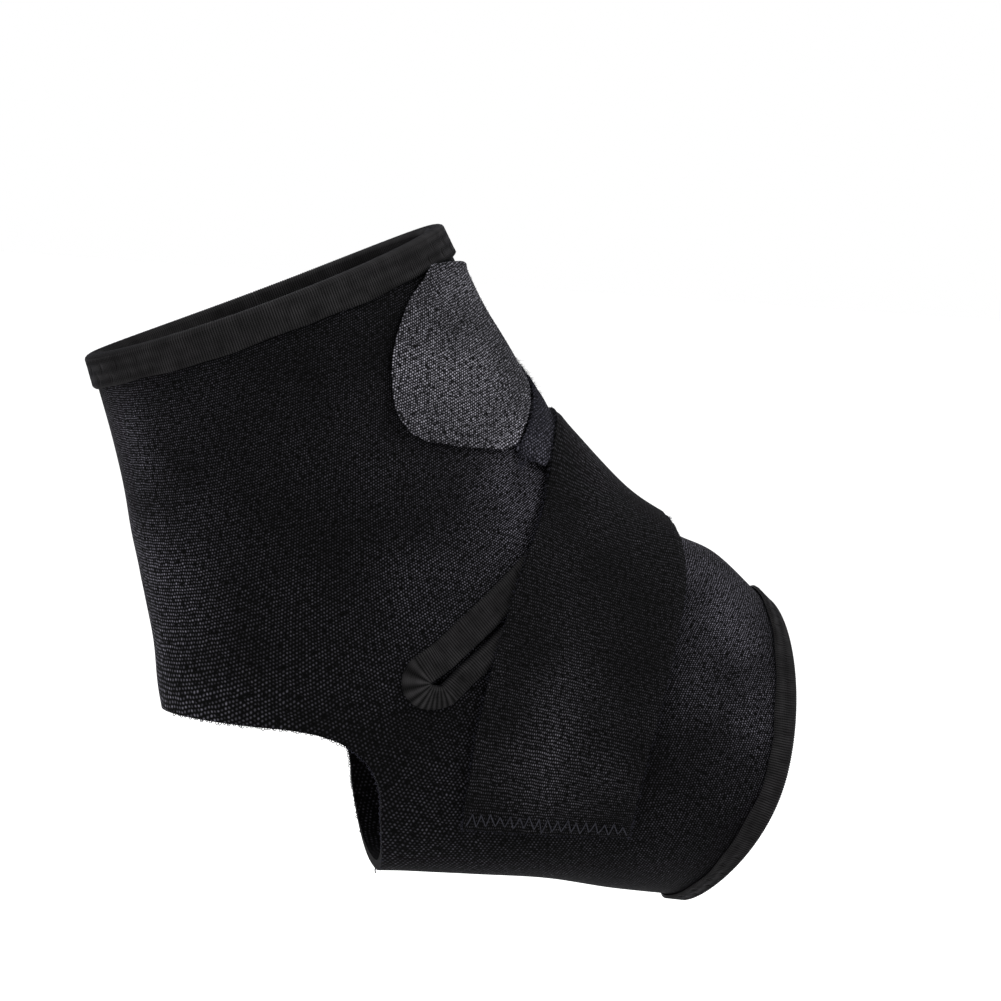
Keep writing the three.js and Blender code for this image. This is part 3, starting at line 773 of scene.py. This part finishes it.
def lay_flat(piece):
    """Unwraps the sleeve as the flat cloth that it was cut from, in metres, rows level at the cuff"""
    only(piece)
    bpy.ops.object.mode_set(mode="EDIT")
    bpy.ops.mesh.select_all(action="SELECT")
    bpy.ops.uv.unwrap(method="CONFORMAL", margin=0)
    bpy.ops.object.mode_set(mode="OBJECT")
    mesh = piece.data
    uv = np.zeros(len(mesh.loops) * 2)
    mesh.uv_layers[0].data.foreach_get("uv", uv)
    uv = uv.reshape(-1, 2)
    corner = np.zeros(len(mesh.loops), int)
    mesh.loops.foreach_get("vertex_index", corner)
    points = read_points(mesh)
    flat = np.zeros((len(points), 2))
    flat[corner] = uv
    ends = [face_point(0.12, degrees * DEGREE) * MM for degrees in (70, 110)]
    picks = [np.argmin(np.linalg.norm(points - end, axis=1)) for end in ends]
    run = flat[picks[1]] - flat[picks[0]]
    scale = np.linalg.norm(points[picks[1]] - points[picks[0]]) / np.linalg.norm(run)
    cos, sin = run / np.linalg.norm(run)
    turned = np.column_stack([uv[:, 0] * cos + uv[:, 1] * sin, uv[:, 1] * cos - uv[:, 0] * sin]) * scale
    mesh.uv_layers[0].data.foreach_set("uv", turned.ravel())


def open_heel(piece):
    """Takes out the faces well inside the heel opening, which the cutter then gives its edge"""
    only(piece)
    bpy.ops.object.mode_set(mode="EDIT")
    bpy.ops.mesh.select_mode(type="FACE")
    bpy.ops.mesh.select_all(action="DESELECT")
    bpy.ops.object.mode_set(mode="OBJECT")
    for face in piece.data.polygons:
        centre = face.center / MM
        face.select = bool(in_heel(centre[0], centre[2], 4.0))
    bpy.ops.object.mode_set(mode="EDIT")
    bpy.ops.mesh.delete(type="FACE")
    bpy.ops.object.mode_set(mode="OBJECT")


def thick_cloth(name, points, pattern, spot_normal, thickness, nap):
    """Cloth with its outer face at points, made thick inward, with its painted sheen"""
    piece = cloth_grid(name, points, pattern)
    face_out(piece, spot_normal)
    apply_modifier(piece, "SOLIDIFY", thickness=thickness * MM, offset=-1)
    soften(piece)
    set_painted_sheen(piece, nap)
    return piece


def make_sleeve():
    """The neoprene wall, with its seam down the middle of the inner side"""
    stations, sides = 150, 168
    place = np.linspace(0, 1, stations + 1)[:, None]
    angle = (np.linspace(0, 360, sides + 1)[None, :] - 90) * DEGREE
    place, angle = np.broadcast_arrays(place, angle)
    points = lifted(place, angle, fold_heights(face_point(place, angle)))
    piece = cloth_grid("sleeve_cloth", points, np.stack([place, angle], -1))
    face_out(piece, lambda spot: spot * np.array([0, 1, 0]))
    open_heel(piece)
    lay_flat(piece)
    apply_modifier(piece, "SOLIDIFY", thickness=WALL * MM, offset=-1)
    weld(piece)
    cut(piece, heel_cutter())
    cut(piece, slit_cutter())
    soften(piece)
    set_painted_sheen(piece, PAINTED_SHEEN_SPOTS)
    return piece


# Folded tapes
def tape_profile():
    """Section of the folded tape: share of its width, or millimetres past the edge where that is below 0,
    lift off the outer face, and 1 where it is in view and has ribs"""
    inner, outer = LAY_GAP, LAY_GAP + TAPE_THICK
    fold_radius = WALL / 2 + outer
    face = [
        (share, outer - TAPE_EDGE_DROP * (share > 0.97), 1)
        for share in (1.0, 0.96, 0.84, 0.68, 0.52, 0.36, 0.2, 0.08, 0.0)
    ]
    fold = [
        (-outer * math.cos(turn * DEGREE), -WALL / 2 + fold_radius * math.sin(turn * DEGREE), 1)
        for turn in (68, 45, 22, 0, -22, -45, -68)
    ]
    far_face = [(share, -WALL - outer, 1) for share in (0.0, 0.3, 0.65, 1.0)]
    under_far = [(share, -WALL - inner, 0) for share in (1.0, 0.5, -inner)]
    under_face = [(-inner, inner, 0), (0.5, inner, 0)]
    return [(1.0, inner + 0.1, 0), *face, *fold, *far_face, *under_far, *under_face]


def needle_marks(run, width, share):
    """Depth of the needle marks, which stand in two staggered rows along the tape"""
    depth = np.zeros(len(run))
    for first, row in NEEDLE_ROWS:
        along = ((run / STITCH_PITCH + first) % 1 - 0.5) * STITCH_PITCH
        across = (share - row) * width
        depth = depth + NEEDLE_DEPTH * np.exp(-(along / NEEDLE_LENGTH) ** 2 - (across / NEEDLE_WIDTH) ** 2)
    return depth


def make_tape(name, place, angle, heading, width, roll=0.0):
    """Tape folded over an edge that closes on itself, with ribs across it; roll lifts its middle"""
    edge = face_point(place, angle)
    normal = face_slopes(place, angle)[2]
    run = run_lengths(edge)
    columns = []
    pattern = []
    for share, lift, shows in tape_profile():
        outside = lift > -WALL / 2
        reach = width * share if share > 0 else np.full(len(run), share)
        rib = RIB_HEIGHT * shows * np.cos(2 * math.pi * (run + RIB_SLANT * np.abs(reach)) / TAPE_RIB)
        if share > 0:
            extra = rib if outside else -rib
            if outside and shows:
                extra = extra + roll * math.sin(math.pi * share) - needle_marks(run, width, share)
            column = lifted(*walk(place, angle, heading, reach, 4), lift + extra)
        else:
            out = np.array([share, lift + WALL / 2])
            out = out / np.linalg.norm(out)
            column = edge + heading * share + normal * lift
            column = column + (heading * out[0] + normal * out[1]) * rib[:, None]
        columns.append(column)
        across = max(share, 0) * np.mean(width) + FAR_FACE_SHIFT * (lift < -WALL / 2)
        pattern.append(np.stack([run, np.full(len(run), across)], -1))
    points = np.stack(columns + columns[:1], 1)
    flat = np.stack(pattern + pattern[:1], 1)
    closing = flat[:1].copy()
    closing[..., 0] = 2 * run[-1] - run[-2]
    piece = cloth_grid(name, np.concatenate([points, points[:1]]), np.concatenate([flat, closing]))
    weld(piece)
    turn_outward(piece)
    soften(piece, 60)
    return piece


def even_line(arrays, points, spacing):
    """Resamples a closed line, its first point also given last, at even lengths with whole ribs"""
    run = run_lengths(points)
    ribs = round(run[-1] / TAPE_RIB)
    count = int(ribs * TAPE_RIB / spacing)
    at = np.linspace(0, run[-1], count + 1)[:-1]
    return [np.interp(at, run, a) for a in arrays]


def square_to(place, angle, side):
    """Direction on the face square to a closed line"""
    edge = face_point(place, angle)
    tangent = np.roll(edge, -1, 0) - np.roll(edge, 1, 0)
    return unit(np.cross(tangent, face_slopes(place, angle)[2])) * side


def make_rim_tape(name, place, side, width):
    """Tape over the rim at the top or at the toes, its width wavering a little"""
    turns = np.linspace(0, 360, 721) * DEGREE
    (turn,) = even_line([turns], face_point(place, turns - 90 * DEGREE), TAPE_SPACING)
    angle = turn - 90 * DEGREE
    places = np.full(len(angle), float(place))
    waver = 0.25 * np.sin(angle * 7) + 0.15 * np.sin(angle * 17 + 1)
    return make_tape(name, places, angle, square_to(places, angle, side), width + waver)


def make_slit_tape():
    """Tape over both lips of the slit, which rolls out on the lower lip and puckers at the ends"""
    angle, offset, turn = (np.append(line, line[0]) for line in slit_edge())
    edge = face_point(beside_slit(angle, offset), angle)
    angle, offset, turn = even_line([angle, offset, turn], edge, TAPE_SPACING)
    pinch = bump_at(np.abs(angle), SLIT_END_DEGREES * DEGREE, 7 * DEGREE)
    place = beside_slit(angle, offset * (1 + 0.45 * pinch))
    width = SLIT_UPPER_TAPE_WIDTH + (SLIT_LOWER_TAPE_WIDTH - SLIT_UPPER_TAPE_WIDTH) * (1 + turn) / 2
    rolled = smooth(np.abs(angle), 70 * DEGREE, 80 * DEGREE) * smooth(turn, 0.2, 1)
    run = np.arange(len(angle)) * TAPE_SPACING
    roll = LIP_ROLL * rolled + pinch * PUCKER_DEPTH * np.cos(2 * math.pi * run / PUCKER_PITCH)
    return make_tape("slit_tape", place, angle, square_to(place, angle, 1), width, roll)


# Instep strap
def without_folds(places, angles):
    """Puts spots in order round the brace where lines square to the strap cross at its toe side"""
    order = np.argsort(-angles, axis=0)
    angles = np.take_along_axis(angles, order, 0)
    places = np.take_along_axis(places, order, 0)
    reach = 12
    kernel = np.ones(2 * reach + 1) / (2 * reach + 1)
    for table in (places, angles):
        for column in range(table.shape[1]):
            line = table[:, column]
            before = 2 * line[0] - line[reach:0:-1]
            after = 2 * line[-1] - line[-2:-reach - 2:-1]
            table[:, column] = np.convolve(np.concatenate([before, line, after]), kernel, "valid")
    return places, angles


def route_place(rows):
    """Place and angle of a point on the strap's middle line"""
    route = blend_rows(STRAP_ROUTE, rows)
    return route[:, 0] / LAST_ROW, route[:, 1] * DEGREE


def strap_grid(stations, across_count):
    """Places and angles over the strap, with its length so far, its width and the shares across it"""
    rows = np.linspace(0, len(STRAP_ROUTE) - 1, stations + 1)
    place, angle = route_place(rows)
    along = face_point(*route_place(rows + 1e-3)) - face_point(*route_place(rows - 1e-3))
    heading = unit(np.cross(along, face_slopes(place, angle)[2]))
    width = STRAP_WIDTH * blend_rows(STRAP_ROUTE, rows)[:, 2]
    spread = np.linspace(-0.5, 0.5, across_count + 1)
    if stations > STRAP_STATIONS:
        coarse = strap_grid(STRAP_STATIONS, across_count)
        between = np.linspace(0, STRAP_STATIONS, stations + 1)
        places, angles = without_folds(blend_rows(coarse[0], between), blend_rows(coarse[1], between))
    else:
        shape = (stations + 1, across_count + 1)
        places, angles = walk(
            np.broadcast_to(place[:, None], shape), np.broadcast_to(angle[:, None], shape),
            heading[:, None, :], width[:, None] * spread[None, :], 12,
        )
    return places, angles, run_lengths(face_point(place, angle)), width, spread


def strap_lift(share):
    """The strap lies on the sleeve at its ends and passes over the slit's tape between them"""
    to_end = np.minimum(share, 1 - share)
    return LAY_GAP + smooth(to_end, 0.1, 0.22) * (TAPE_THICK + LAY_GAP)


# Creases of the strap near its sewn end: place along from the end and across, half sizes, height, slant
STRAP_CREASES = [
    [20, -0.20, 14, 2.2, 0.5, 0.10],
    [26, 0.10, 18, 2.6, -0.6, 0.12],
    [33, 0.15, 16, 3.0, 0.6, 0.10],
    [43, 0.00, 20, 4.0, -0.4, 0.05],
    [56, 0.05, 22, 5.0, 0.5, 0.00],
]


def make_strap():
    """The strap with creases near both sewn ends, pressed down where it is sewn; also gives its grid"""
    grid = strap_grid(330, 46)
    places, angles, run, width, spread = grid
    share = np.linspace(0, 1, len(run))[:, None]
    lift = np.broadcast_to(strap_lift(share), places.shape) + STRAP_THICK
    across = spread[None, :] * width[:, None]
    along = np.broadcast_to(run[:, None], places.shape)
    for from_end, side, half_length, half_width, rise, slant in STRAP_CREASES:
        off_middle = (across - side * STRAP_WIDTH) / half_length
        for down in (along, run[-1] - along):
            off_line = (down - (from_end + slant * across)) / half_width
            lift = lift + rise * np.exp(-off_line ** 2 - off_middle ** 2)
    to_end = np.minimum(along, run[-1] - along)
    lift = lift - STRAP_PRESS * (1 - smooth(to_end, 5.5, 9.0))
    edge = STRAP_WIDTH / 2 - np.abs(across)
    rng = np.random.default_rng(SEED)
    fray = np.convolve(rng.normal(0, 1, len(run) + 8), np.ones(3) / 3, "same")[4:-4][:, None]
    lift = lift - STRAP_EDGE_ROUND * (1 - smooth(edge, 0, 1.3))
    lift = lift + STRAP_FRAY * fray * (1 - smooth(edge, 0, 2.5))
    points = lifted(places, angles, lift)
    piece = thick_cloth(
        "strap_cloth", points, np.stack([across, along], -1), lambda spot: spot * np.array([0.3, 0, 1]),
        STRAP_THICK - STRAP_SLACK, STRAP_PAINTED_SHEEN_SPOTS,
    )
    return piece, grid


# Cuff pieces
def cuff_spot(around_mm, down_mm):
    """Spot that lies so far round from the cuff's front and so far down from its top rim"""
    around_mm, down_mm = (np.array(v, float) for v in np.broadcast_arrays(around_mm, down_mm))
    angle = np.zeros(around_mm.shape)
    steps = 24
    for _ in range(steps):
        slope = face_slopes(np.zeros(angle.shape), angle)[1]
        angle = angle + around_mm / steps / np.linalg.norm(slope, axis=-1)
    place = np.zeros(angle.shape)
    _down, rim, normal = face_slopes(place, angle)
    return walk(place, angle, unit(np.cross(normal, rim)), down_mm, 16)


def cuff_lift(down):
    """The flap and the tab pass over the top tape and lie lower beneath it"""
    raise_share = 1 - smooth(down, TOP_TAPE_WIDTH + 1.5, TOP_TAPE_WIDTH + 7)
    return CUFF_GAP + raise_share * (TAPE_THICK + LAY_GAP)


def tab_place(share, across):
    """Place on the D of the tab: share down from its top, across from its free side to its seam"""
    seam = np.interp(share, TAB_OUTLINE[:, 0], TAB_OUTLINE[:, 1])
    free = np.interp(share, TAB_OUTLINE[:, 0], TAB_OUTLINE[:, 2])
    around = TAB_LENGTH * (free + (seam - free) * across)
    down = TAB_TOP + TAB_HEIGHT * share + TAB_TOP_DROP * (1 - share) ** 3 * across
    return around, down


def make_tab():
    """The tab with the woven dots of its back in a brick pattern and a slight wave near its seam"""
    share = np.linspace(0, TAB_OUTLINE[-1, 0], 170)[:, None]
    across = np.linspace(0, 1, 180)[None, :]
    share, across = np.broadcast_arrays(share, across)
    around, down = tab_place(share, across)
    wave_across = np.cos(2 * math.pi * around / TAB_PITCH + math.pi * np.floor(down / TAB_PITCH))
    wave_down = np.cos(2 * math.pi * down / TAB_PITCH)
    dots = TAB_DOT_HEIGHT * wave_across * np.abs(wave_down)
    edge = np.minimum(across, share * 3) * TAB_LENGTH
    place, angle = cuff_spot(around, down)
    lift = cuff_lift(down) + TAB_THICK + dots * smooth(edge, 0, 1.2)
    lift = lift - TAB_EDGE_ROUND * (1 - smooth(edge, 0, 0.7))
    ripple = TAB_WAVE * np.sin(down / 5.5 + around / 13) * smooth(across, 0.45, 0.8)
    points = lifted(place, angle, lift + ripple)
    return thick_cloth(
        "tab_cloth", points, np.stack([around, down], -1), lambda spot: np.array([0.5, -1.0, 0.4]),
        TAB_THICK - TAB_SLACK, PAINTED_SHEEN_SPOTS,
    )


def strap_edge_line():
    """Angles and places of the strap's upper edge"""
    places, angles, _run, _width, _spread = strap_grid(80, 2)
    middle = len(places) // 2
    column = 0 if places[middle, 0] < places[middle, -1] else -1
    order = np.argsort(angles[:, column])
    return angles[order, column], places[order, column]


def down_to_strap(around):
    """Distance down from the top rim to the strap, found by halving"""
    line_angle, line_place = strap_edge_line()
    above, below = np.zeros(len(around)), np.full(len(around), 2.0 * TAB_HEIGHT)
    for _ in range(14):
        down = (above + below) / 2
        place, angle = cuff_spot(around, down)
        clear = place < np.interp(angle, line_angle, line_place)
        above, below = np.where(clear, down, above), np.where(clear, below, down)
    return above


def make_flap():
    """The flap between its straight top, the tab's seam and its drawn lower edge, with tufts of pile"""
    around = np.linspace(FLAP_TIP_LENGTH, -FLAP_LENGTH, 190)
    shares = TAB_OUTLINE[:, 0]
    seam_around, seam_down = tab_place(shares, np.ones(len(shares)))
    beside = around + SIDE_GAP > seam_around[0]
    order = np.argsort(seam_around)
    seam = np.interp(around + SIDE_GAP, seam_around[order], seam_down[order])
    upper = np.where(beside, seam + SIDE_GAP, FLAP_TOP)
    key = np.where(around > 0, around / FLAP_TIP_LENGTH, around / FLAP_LENGTH)
    drawn = FLAP_TOP + FLAP_HEIGHT * np.interp(key, FLAP_OUTLINE[:, 0], FLAP_OUTLINE[:, 1])
    lower = np.minimum(drawn, down_to_strap(around) - SIDE_GAP)
    rng = np.random.default_rng(SEED + 1)
    ragged = np.convolve(rng.normal(0, FLAP_FRAY, len(around) + 4), np.ones(3) / 3, "same")[2:-2]
    lower = lower - 0.4 + ragged
    across = np.linspace(0, 1, 60)[None, :]
    down = upper[:, None] + (lower - upper)[:, None] * across
    arounds = np.broadcast_to(around[:, None], down.shape)
    place, angle = cuff_spot(arounds, down)
    tuft = rng.normal(0, 1, down.shape)
    tuft = (tuft + np.roll(tuft, 1, 0) + np.roll(tuft, 1, 1) + np.roll(tuft, -1, 0)) / 4
    edge = np.minimum(down - upper[:, None], lower[:, None] - down)
    lift = cuff_lift(down) + FLAP_THICK + FLAP_TUFT * tuft - FLAP_EDGE_ROUND * (1 - smooth(edge, 0, 1.4))
    points = lifted(place, angle, lift)
    return thick_cloth(
        "flap_cloth", points, np.stack([arounds, down], -1), lambda spot: np.array([1.0, 0.3, 0.4]),
        FLAP_THICK - FLAP_SLACK, PAINTED_SHEEN_SPOTS,
    )


# Threads and loose fibres
# Zigzag of the strap: stitches, depths of its corners from the strap's end, how far it sinks in, its bow
# and its thread
SEAM_STITCHES = 34
SEAM_DEPTHS = (1.4, 5.2)
SEAM_SINK = 0.75
SEAM_RISE = 0.40
SEAM_THREAD = 0.38

# Loops of the heel edge, and how far back their line starts
LOOP_PITCH = 0.8
LOOP_HALF_WIDTH = 0.45
LOOP_RISE = 0.3
LOOP_THREAD = 0.24
HEEL_BACK = 56


def arcs(starts, ends, normals, rise, steps=5):
    """Small bows from starts to ends that stand up by rise in their middle"""
    share = np.linspace(0, 1, steps)[None, :, None]
    bow = 4 * share * (1 - share) * rise
    return starts[:, None] * (1 - share) + ends[:, None] * share + normals[:, None] * bow


def cloth_point(places, angles, row, column, lift):
    """Point over a grid of spots at a broken row and column"""
    rows, columns = places.shape
    r = np.clip(row, 0, rows - 1.001)
    c = np.clip(column, 0, columns - 1.001)
    r0, c0 = r.astype(int), c.astype(int)
    fr, fc = r - r0, c - c0

    def at(table):
        top = table[r0, c0] * (1 - fc) + table[r0, c0 + 1] * fc
        low = table[r0 + 1, c0] * (1 - fc) + table[r0 + 1, c0 + 1] * fc
        return top * (1 - fr) + low * fr

    place, angle = at(places), at(angles)
    return lifted(place, angle, lift), face_slopes(place, angle)[2]


def make_strap_seam(grid):
    """Uneven zigzag that sews each end of the strap down"""
    places, angles, run, _width, spread = grid
    rows_per_mm = (len(run) - 1) / run[-1]
    corner = np.arange(SEAM_STITCHES + 1)
    rng = np.random.default_rng(SEED + 8)
    column = 0.02 + 0.96 * (corner + rng.normal(0, 0.12, len(corner))) / SEAM_STITCHES
    lift = np.full(len(corner), LAY_GAP + STRAP_THICK - SEAM_SINK)
    paths = []
    for at_end in (False, True):
        row = (np.where(corner % 2 == 0, *SEAM_DEPTHS) + rng.normal(0, 0.35, len(corner))) * rows_per_mm
        if at_end:
            row = len(run) - 1 - row
        points, normals = cloth_point(places, angles, row, column * (len(spread) - 1), lift)
        paths.append(arcs(points[:-1], points[1:], normals[:-1], SEAM_RISE))
    return threads("strap_seam_thread", np.concatenate(paths), SEAM_THREAD)


def fibres(name, roots, outs, normals, count, length, thick, seed, spread=0.7):
    """Loose fibres that leave roots in the direction outs and bend over"""
    rng = np.random.default_rng(seed)
    pick = rng.integers(0, len(roots), count)
    root = roots[pick] + rng.normal(0, 0.15, (count, 3))
    reach = length * rng.uniform(0.4, 1.0, (count, 1))
    stand = normals[pick] * rng.uniform(-0.2, 0.9, (count, 1))
    aim = unit(outs[pick] + stand + rng.normal(0, spread, (count, 3)) * 0.6)
    bend = rng.normal(0, spread, (count, 3))
    share = np.linspace(0, 1, 4)[None, :, None]
    straight = aim[:, None] * reach[:, None] * share
    bent = bend[:, None] * reach[:, None] * share ** 2 * 0.5
    taper = thick * np.linspace(1, 0.35, 4)[None, :]
    return threads(name, root[:, None] + straight + bent, taper)


def strap_fibres(grid):
    """Fuzz along the long edges of the strap, and less of it along its sewn ends"""
    places, angles, run, _width, spread = grid
    roots, outs, normals = [], [], []
    for column, inside in ((0, 1), (len(spread) - 1, len(spread) - 2)):
        lift = strap_lift(np.linspace(0, 1, len(run))) + STRAP_THICK * 0.55
        edge = lifted(places[:, column], angles[:, column], lift)
        near = lifted(places[:, inside], angles[:, inside], lift)
        roots.append(edge)
        outs.append(unit(edge - near))
        normals.append(face_slopes(places[:, column], angles[:, column])[2])
    for row, inside in ((0, 1), (len(run) - 1, len(run) - 2)):
        lift = np.full(len(spread), LAY_GAP + 0.8)
        edge = lifted(places[row], angles[row], lift)
        near = lifted(places[inside], angles[inside], lift)
        roots.append(np.repeat(edge, 3, 0))
        outs.append(np.repeat(unit(edge - near), 3, 0))
        normals.append(np.repeat(face_slopes(places[row], angles[row])[2], 3, 0))
    return fibres(
        "strap_edge_fibres", np.concatenate(roots), np.concatenate(outs), np.concatenate(normals),
        count=2600, length=1.1, thick=0.09, seed=SEED + 2,
    )


def heel_loops():
    """Frayed loops of knit along the raw edge of the heel opening, on both sides"""
    back_reach = np.linspace(-HEEL_BACK, HEEL_TOP_REACH, 30)[:-1]
    back = np.column_stack([back_reach, np.full(len(back_reach), -HEEL_TOP_DROP)])
    line = np.vstack([back, heel_outline()[1:]])
    line[-1, 1] += 3
    length = run_lengths(line)
    count = int(length[-1] / LOOP_PITCH)
    at = np.linspace(0, length[-1], count)
    x, z = np.interp(at, length, line[:, 0]), np.interp(at, length, line[:, 1])
    rng = np.random.default_rng(SEED + 3)
    turn = np.linspace(-0.35, math.pi + 0.35, 7)
    paths = []
    for side in (1, -1):
        around = side * np.linspace(60, 179, 240) * DEGREE
        places, angles = np.meshgrid(np.linspace(0.02, 0.85, 240), around, indexing="ij")
        face = face_point(places, angles).reshape(-1, 3)
        normals = face_slopes(places, angles)[2].reshape(-1, 3)
        for i in range(count):
            nearest = np.argmin((face[:, 0] - x[i]) ** 2 + (face[:, 2] - z[i]) ** 2)
            normal = normals[nearest]
            spot = np.array([x[i], face[nearest, 1], z[i]])
            ahead = min(i + 1, count - 1)
            run = unit(np.array([x[ahead] - x[ahead - 1], 0, z[ahead] - z[ahead - 1]]))
            out = unit(np.cross(run, normal))
            if dot(out, np.array([-0.4, 0, -1.0])) < 0:
                out = -out
            size = rng.uniform(0.45, 0.85)
            depth = rng.uniform(-2.6, -0.1)
            loop = spot + run * np.cos(turn)[:, None] * LOOP_HALF_WIDTH + out * np.sin(turn)[:, None] * size
            paths.append(loop + normal * (depth + LOOP_RISE * np.sin(turn)[:, None]))
    return threads("heel_edge_loops", np.array(paths), LOOP_THREAD)


def flap_fibres():
    """Fibres of the flap's pile that stand out beneath the lower half of the tab"""
    share = np.linspace(0.45, 0.99, 60)
    around, down = tab_place(share, np.ones(len(share)))
    rng = np.random.default_rng(SEED + 4)
    reach = rng.uniform(0, 1, (len(share), 14))
    arounds = around[:, None] + reach * 3.5
    downs = down[:, None] + 1.0 + reach * 7.5
    place, angle = cuff_spot(arounds, downs)
    normals = face_slopes(place, angle)[2].reshape(-1, 3) * 0.8
    roots = lifted(place, angle, cuff_lift(downs) + FLAP_THICK - 0.4).reshape(-1, 3)
    outs = np.tile(np.array([0.3, -0.5, -0.8]), (len(roots), 1))
    return fibres(
        "flap_fibres", roots, outs, normals, count=2400, length=1.5, thick=0.10, seed=SEED + 5, spread=0.9,
    )


def tab_hooks():
    """Ends of the hook legs that show on the tab as bright specks, and stand up at its outline"""
    rng = np.random.default_rng(SEED + 6)
    share, across = rng.uniform(0.03, 0.96, 900), rng.uniform(0.04, 0.98, 900)
    around, down = tab_place(share, across)
    place, angle = cuff_spot(around, down)
    normal = face_slopes(place, angle)[2]
    roots = lifted(place, angle, cuff_lift(down) + TAB_THICK - 0.05)
    outs = unit(normal + rng.normal(0, 0.5, normal.shape))
    return fibres(
        "tab_hook_ends", roots, outs, normal, count=1500, length=0.5, thick=0.15, seed=SEED + 7, spread=0.5,
    )


# Building
add_camera()

sleeve = make_sleeve()
top_tape = make_rim_tape("top_tape", 0, -1, TOP_TAPE_WIDTH)
toe_tape = make_rim_tape("toe_tape", 1, 1, TOE_TAPE_WIDTH)
slit_tape = make_slit_tape()
strap, strap_spots = make_strap()
tab = make_tab()
flap = make_flap()
strap_seam = make_strap_seam(strap_spots)
strap_fuzz = strap_fibres(strap_spots)
loops = heel_loops()
flap_fuzz = flap_fibres()
hooks = tab_hooks()

knit = knit_material(
    "nylon_knit_on_neoprene", "#030303", "#6c6a74", KNIT_PITCH, KNIT_PITCH, sheen=0.015, bump_mm=0.12,
)
strap_knit = knit_material(
    "ribbed_stretch_knit", "#040404", "#6c6a72", STRAP_WALE, STRAP_RIB, sheen=0.015, bump_mm=0.14,
)
pile = knit_material(
    "brushed_loop_pile", "#0c0c0f", "#56555f", PILE_PITCH, PILE_PITCH,
    sheen=0.04, bump_mm=0.25, depth=1.2, plain=0.9,
)
hook_tape = knit_material(
    "woven_hook_tape", "#09090a", "#9d9ba5", TAB_PITCH / 2, TAB_PITCH / 2,
    sheen=0.03, bump_mm=0.15, depth=1.4, plain=1.0,
)
tape = tape_material("ribbed_polyester_tape", "#030303", "#2c2b2c")
sewing_thread = thread_material("spun_polyester_thread", "#34343a")
fuzz = thread_material("loose_nylon_fibre", "#34343e")
hook_nylon = thread_material("hook_monofilament", "#d4d4de", 0.1)

pieces = [
    (sleeve, knit, "neoprene_knit", "sleeve"),
    (top_tape, tape, "binding_tape", "top_binding"),
    (toe_tape, tape, "binding_tape", "forefoot_binding"),
    (slit_tape, tape, "binding_tape", "slit_binding"),
    (strap, strap_knit, "strap_knit", "instep_strap"),
    (tab, hook_tape, "hook_tape", "hook_tab"),
    (flap, pile, "flap_pile", "front_flap"),
    (strap_seam, sewing_thread, "strap_knit", None),
    (strap_fuzz, fuzz, "strap_knit", None),
    (loops, fuzz, "neoprene_knit", None),
    (flap_fuzz, fuzz, "flap_pile", None),
    (hooks, hook_nylon, "hook_tape", None),
]
for piece, material, slot, stood_for in pieces:
    piece.data.materials.clear()
    piece.data.materials.append(material)
    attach(piece, "root")
    if stood_for:
        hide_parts(stood_for)

# Floor, light and sky: the floor in metres, wide enough to fill the picture to its edges
FLOOR_SIZE = 80
FLOOR_DROP = 0.15
deselect()
bpy.ops.mesh.primitive_plane_add(size=FLOOR_SIZE, location=(0, 0, -FLOOR_DROP))
floor = bpy.context.active_object
floor.name = "studio_floor"
floor.data.materials.append(floor_material())


def add_light(name, place, size, power):
    """Square lamp aimed at the ankle, its size in metres and its power in watts"""
    deselect()
    bpy.ops.object.light_add(type="AREA", location=place)
    light = bpy.context.active_object
    light.name = name
    light.data.size = size
    light.data.energy = power
    light.rotation_mode = "QUATERNION"
    light.rotation_quaternion = (-Vector(place)).to_track_quat("-Z", "Y")


add_light("key_light", (0.7, -0.5, 1.1), 0.6, 14)
add_light("fill_light", (-0.9, -0.7, 0.5), 0.7, 5)
world = bpy.data.worlds.new("studio")
bpy.context.scene.world = world
world.use_nodes = True
world.node_tree.nodes["Background"].inputs["Color"].default_value = (1, 1, 1, 1)
world.node_tree.nodes["Background"].inputs["Strength"].default_value = 1.0
bpy.context.scene.view_settings.view_transform = "Standard"
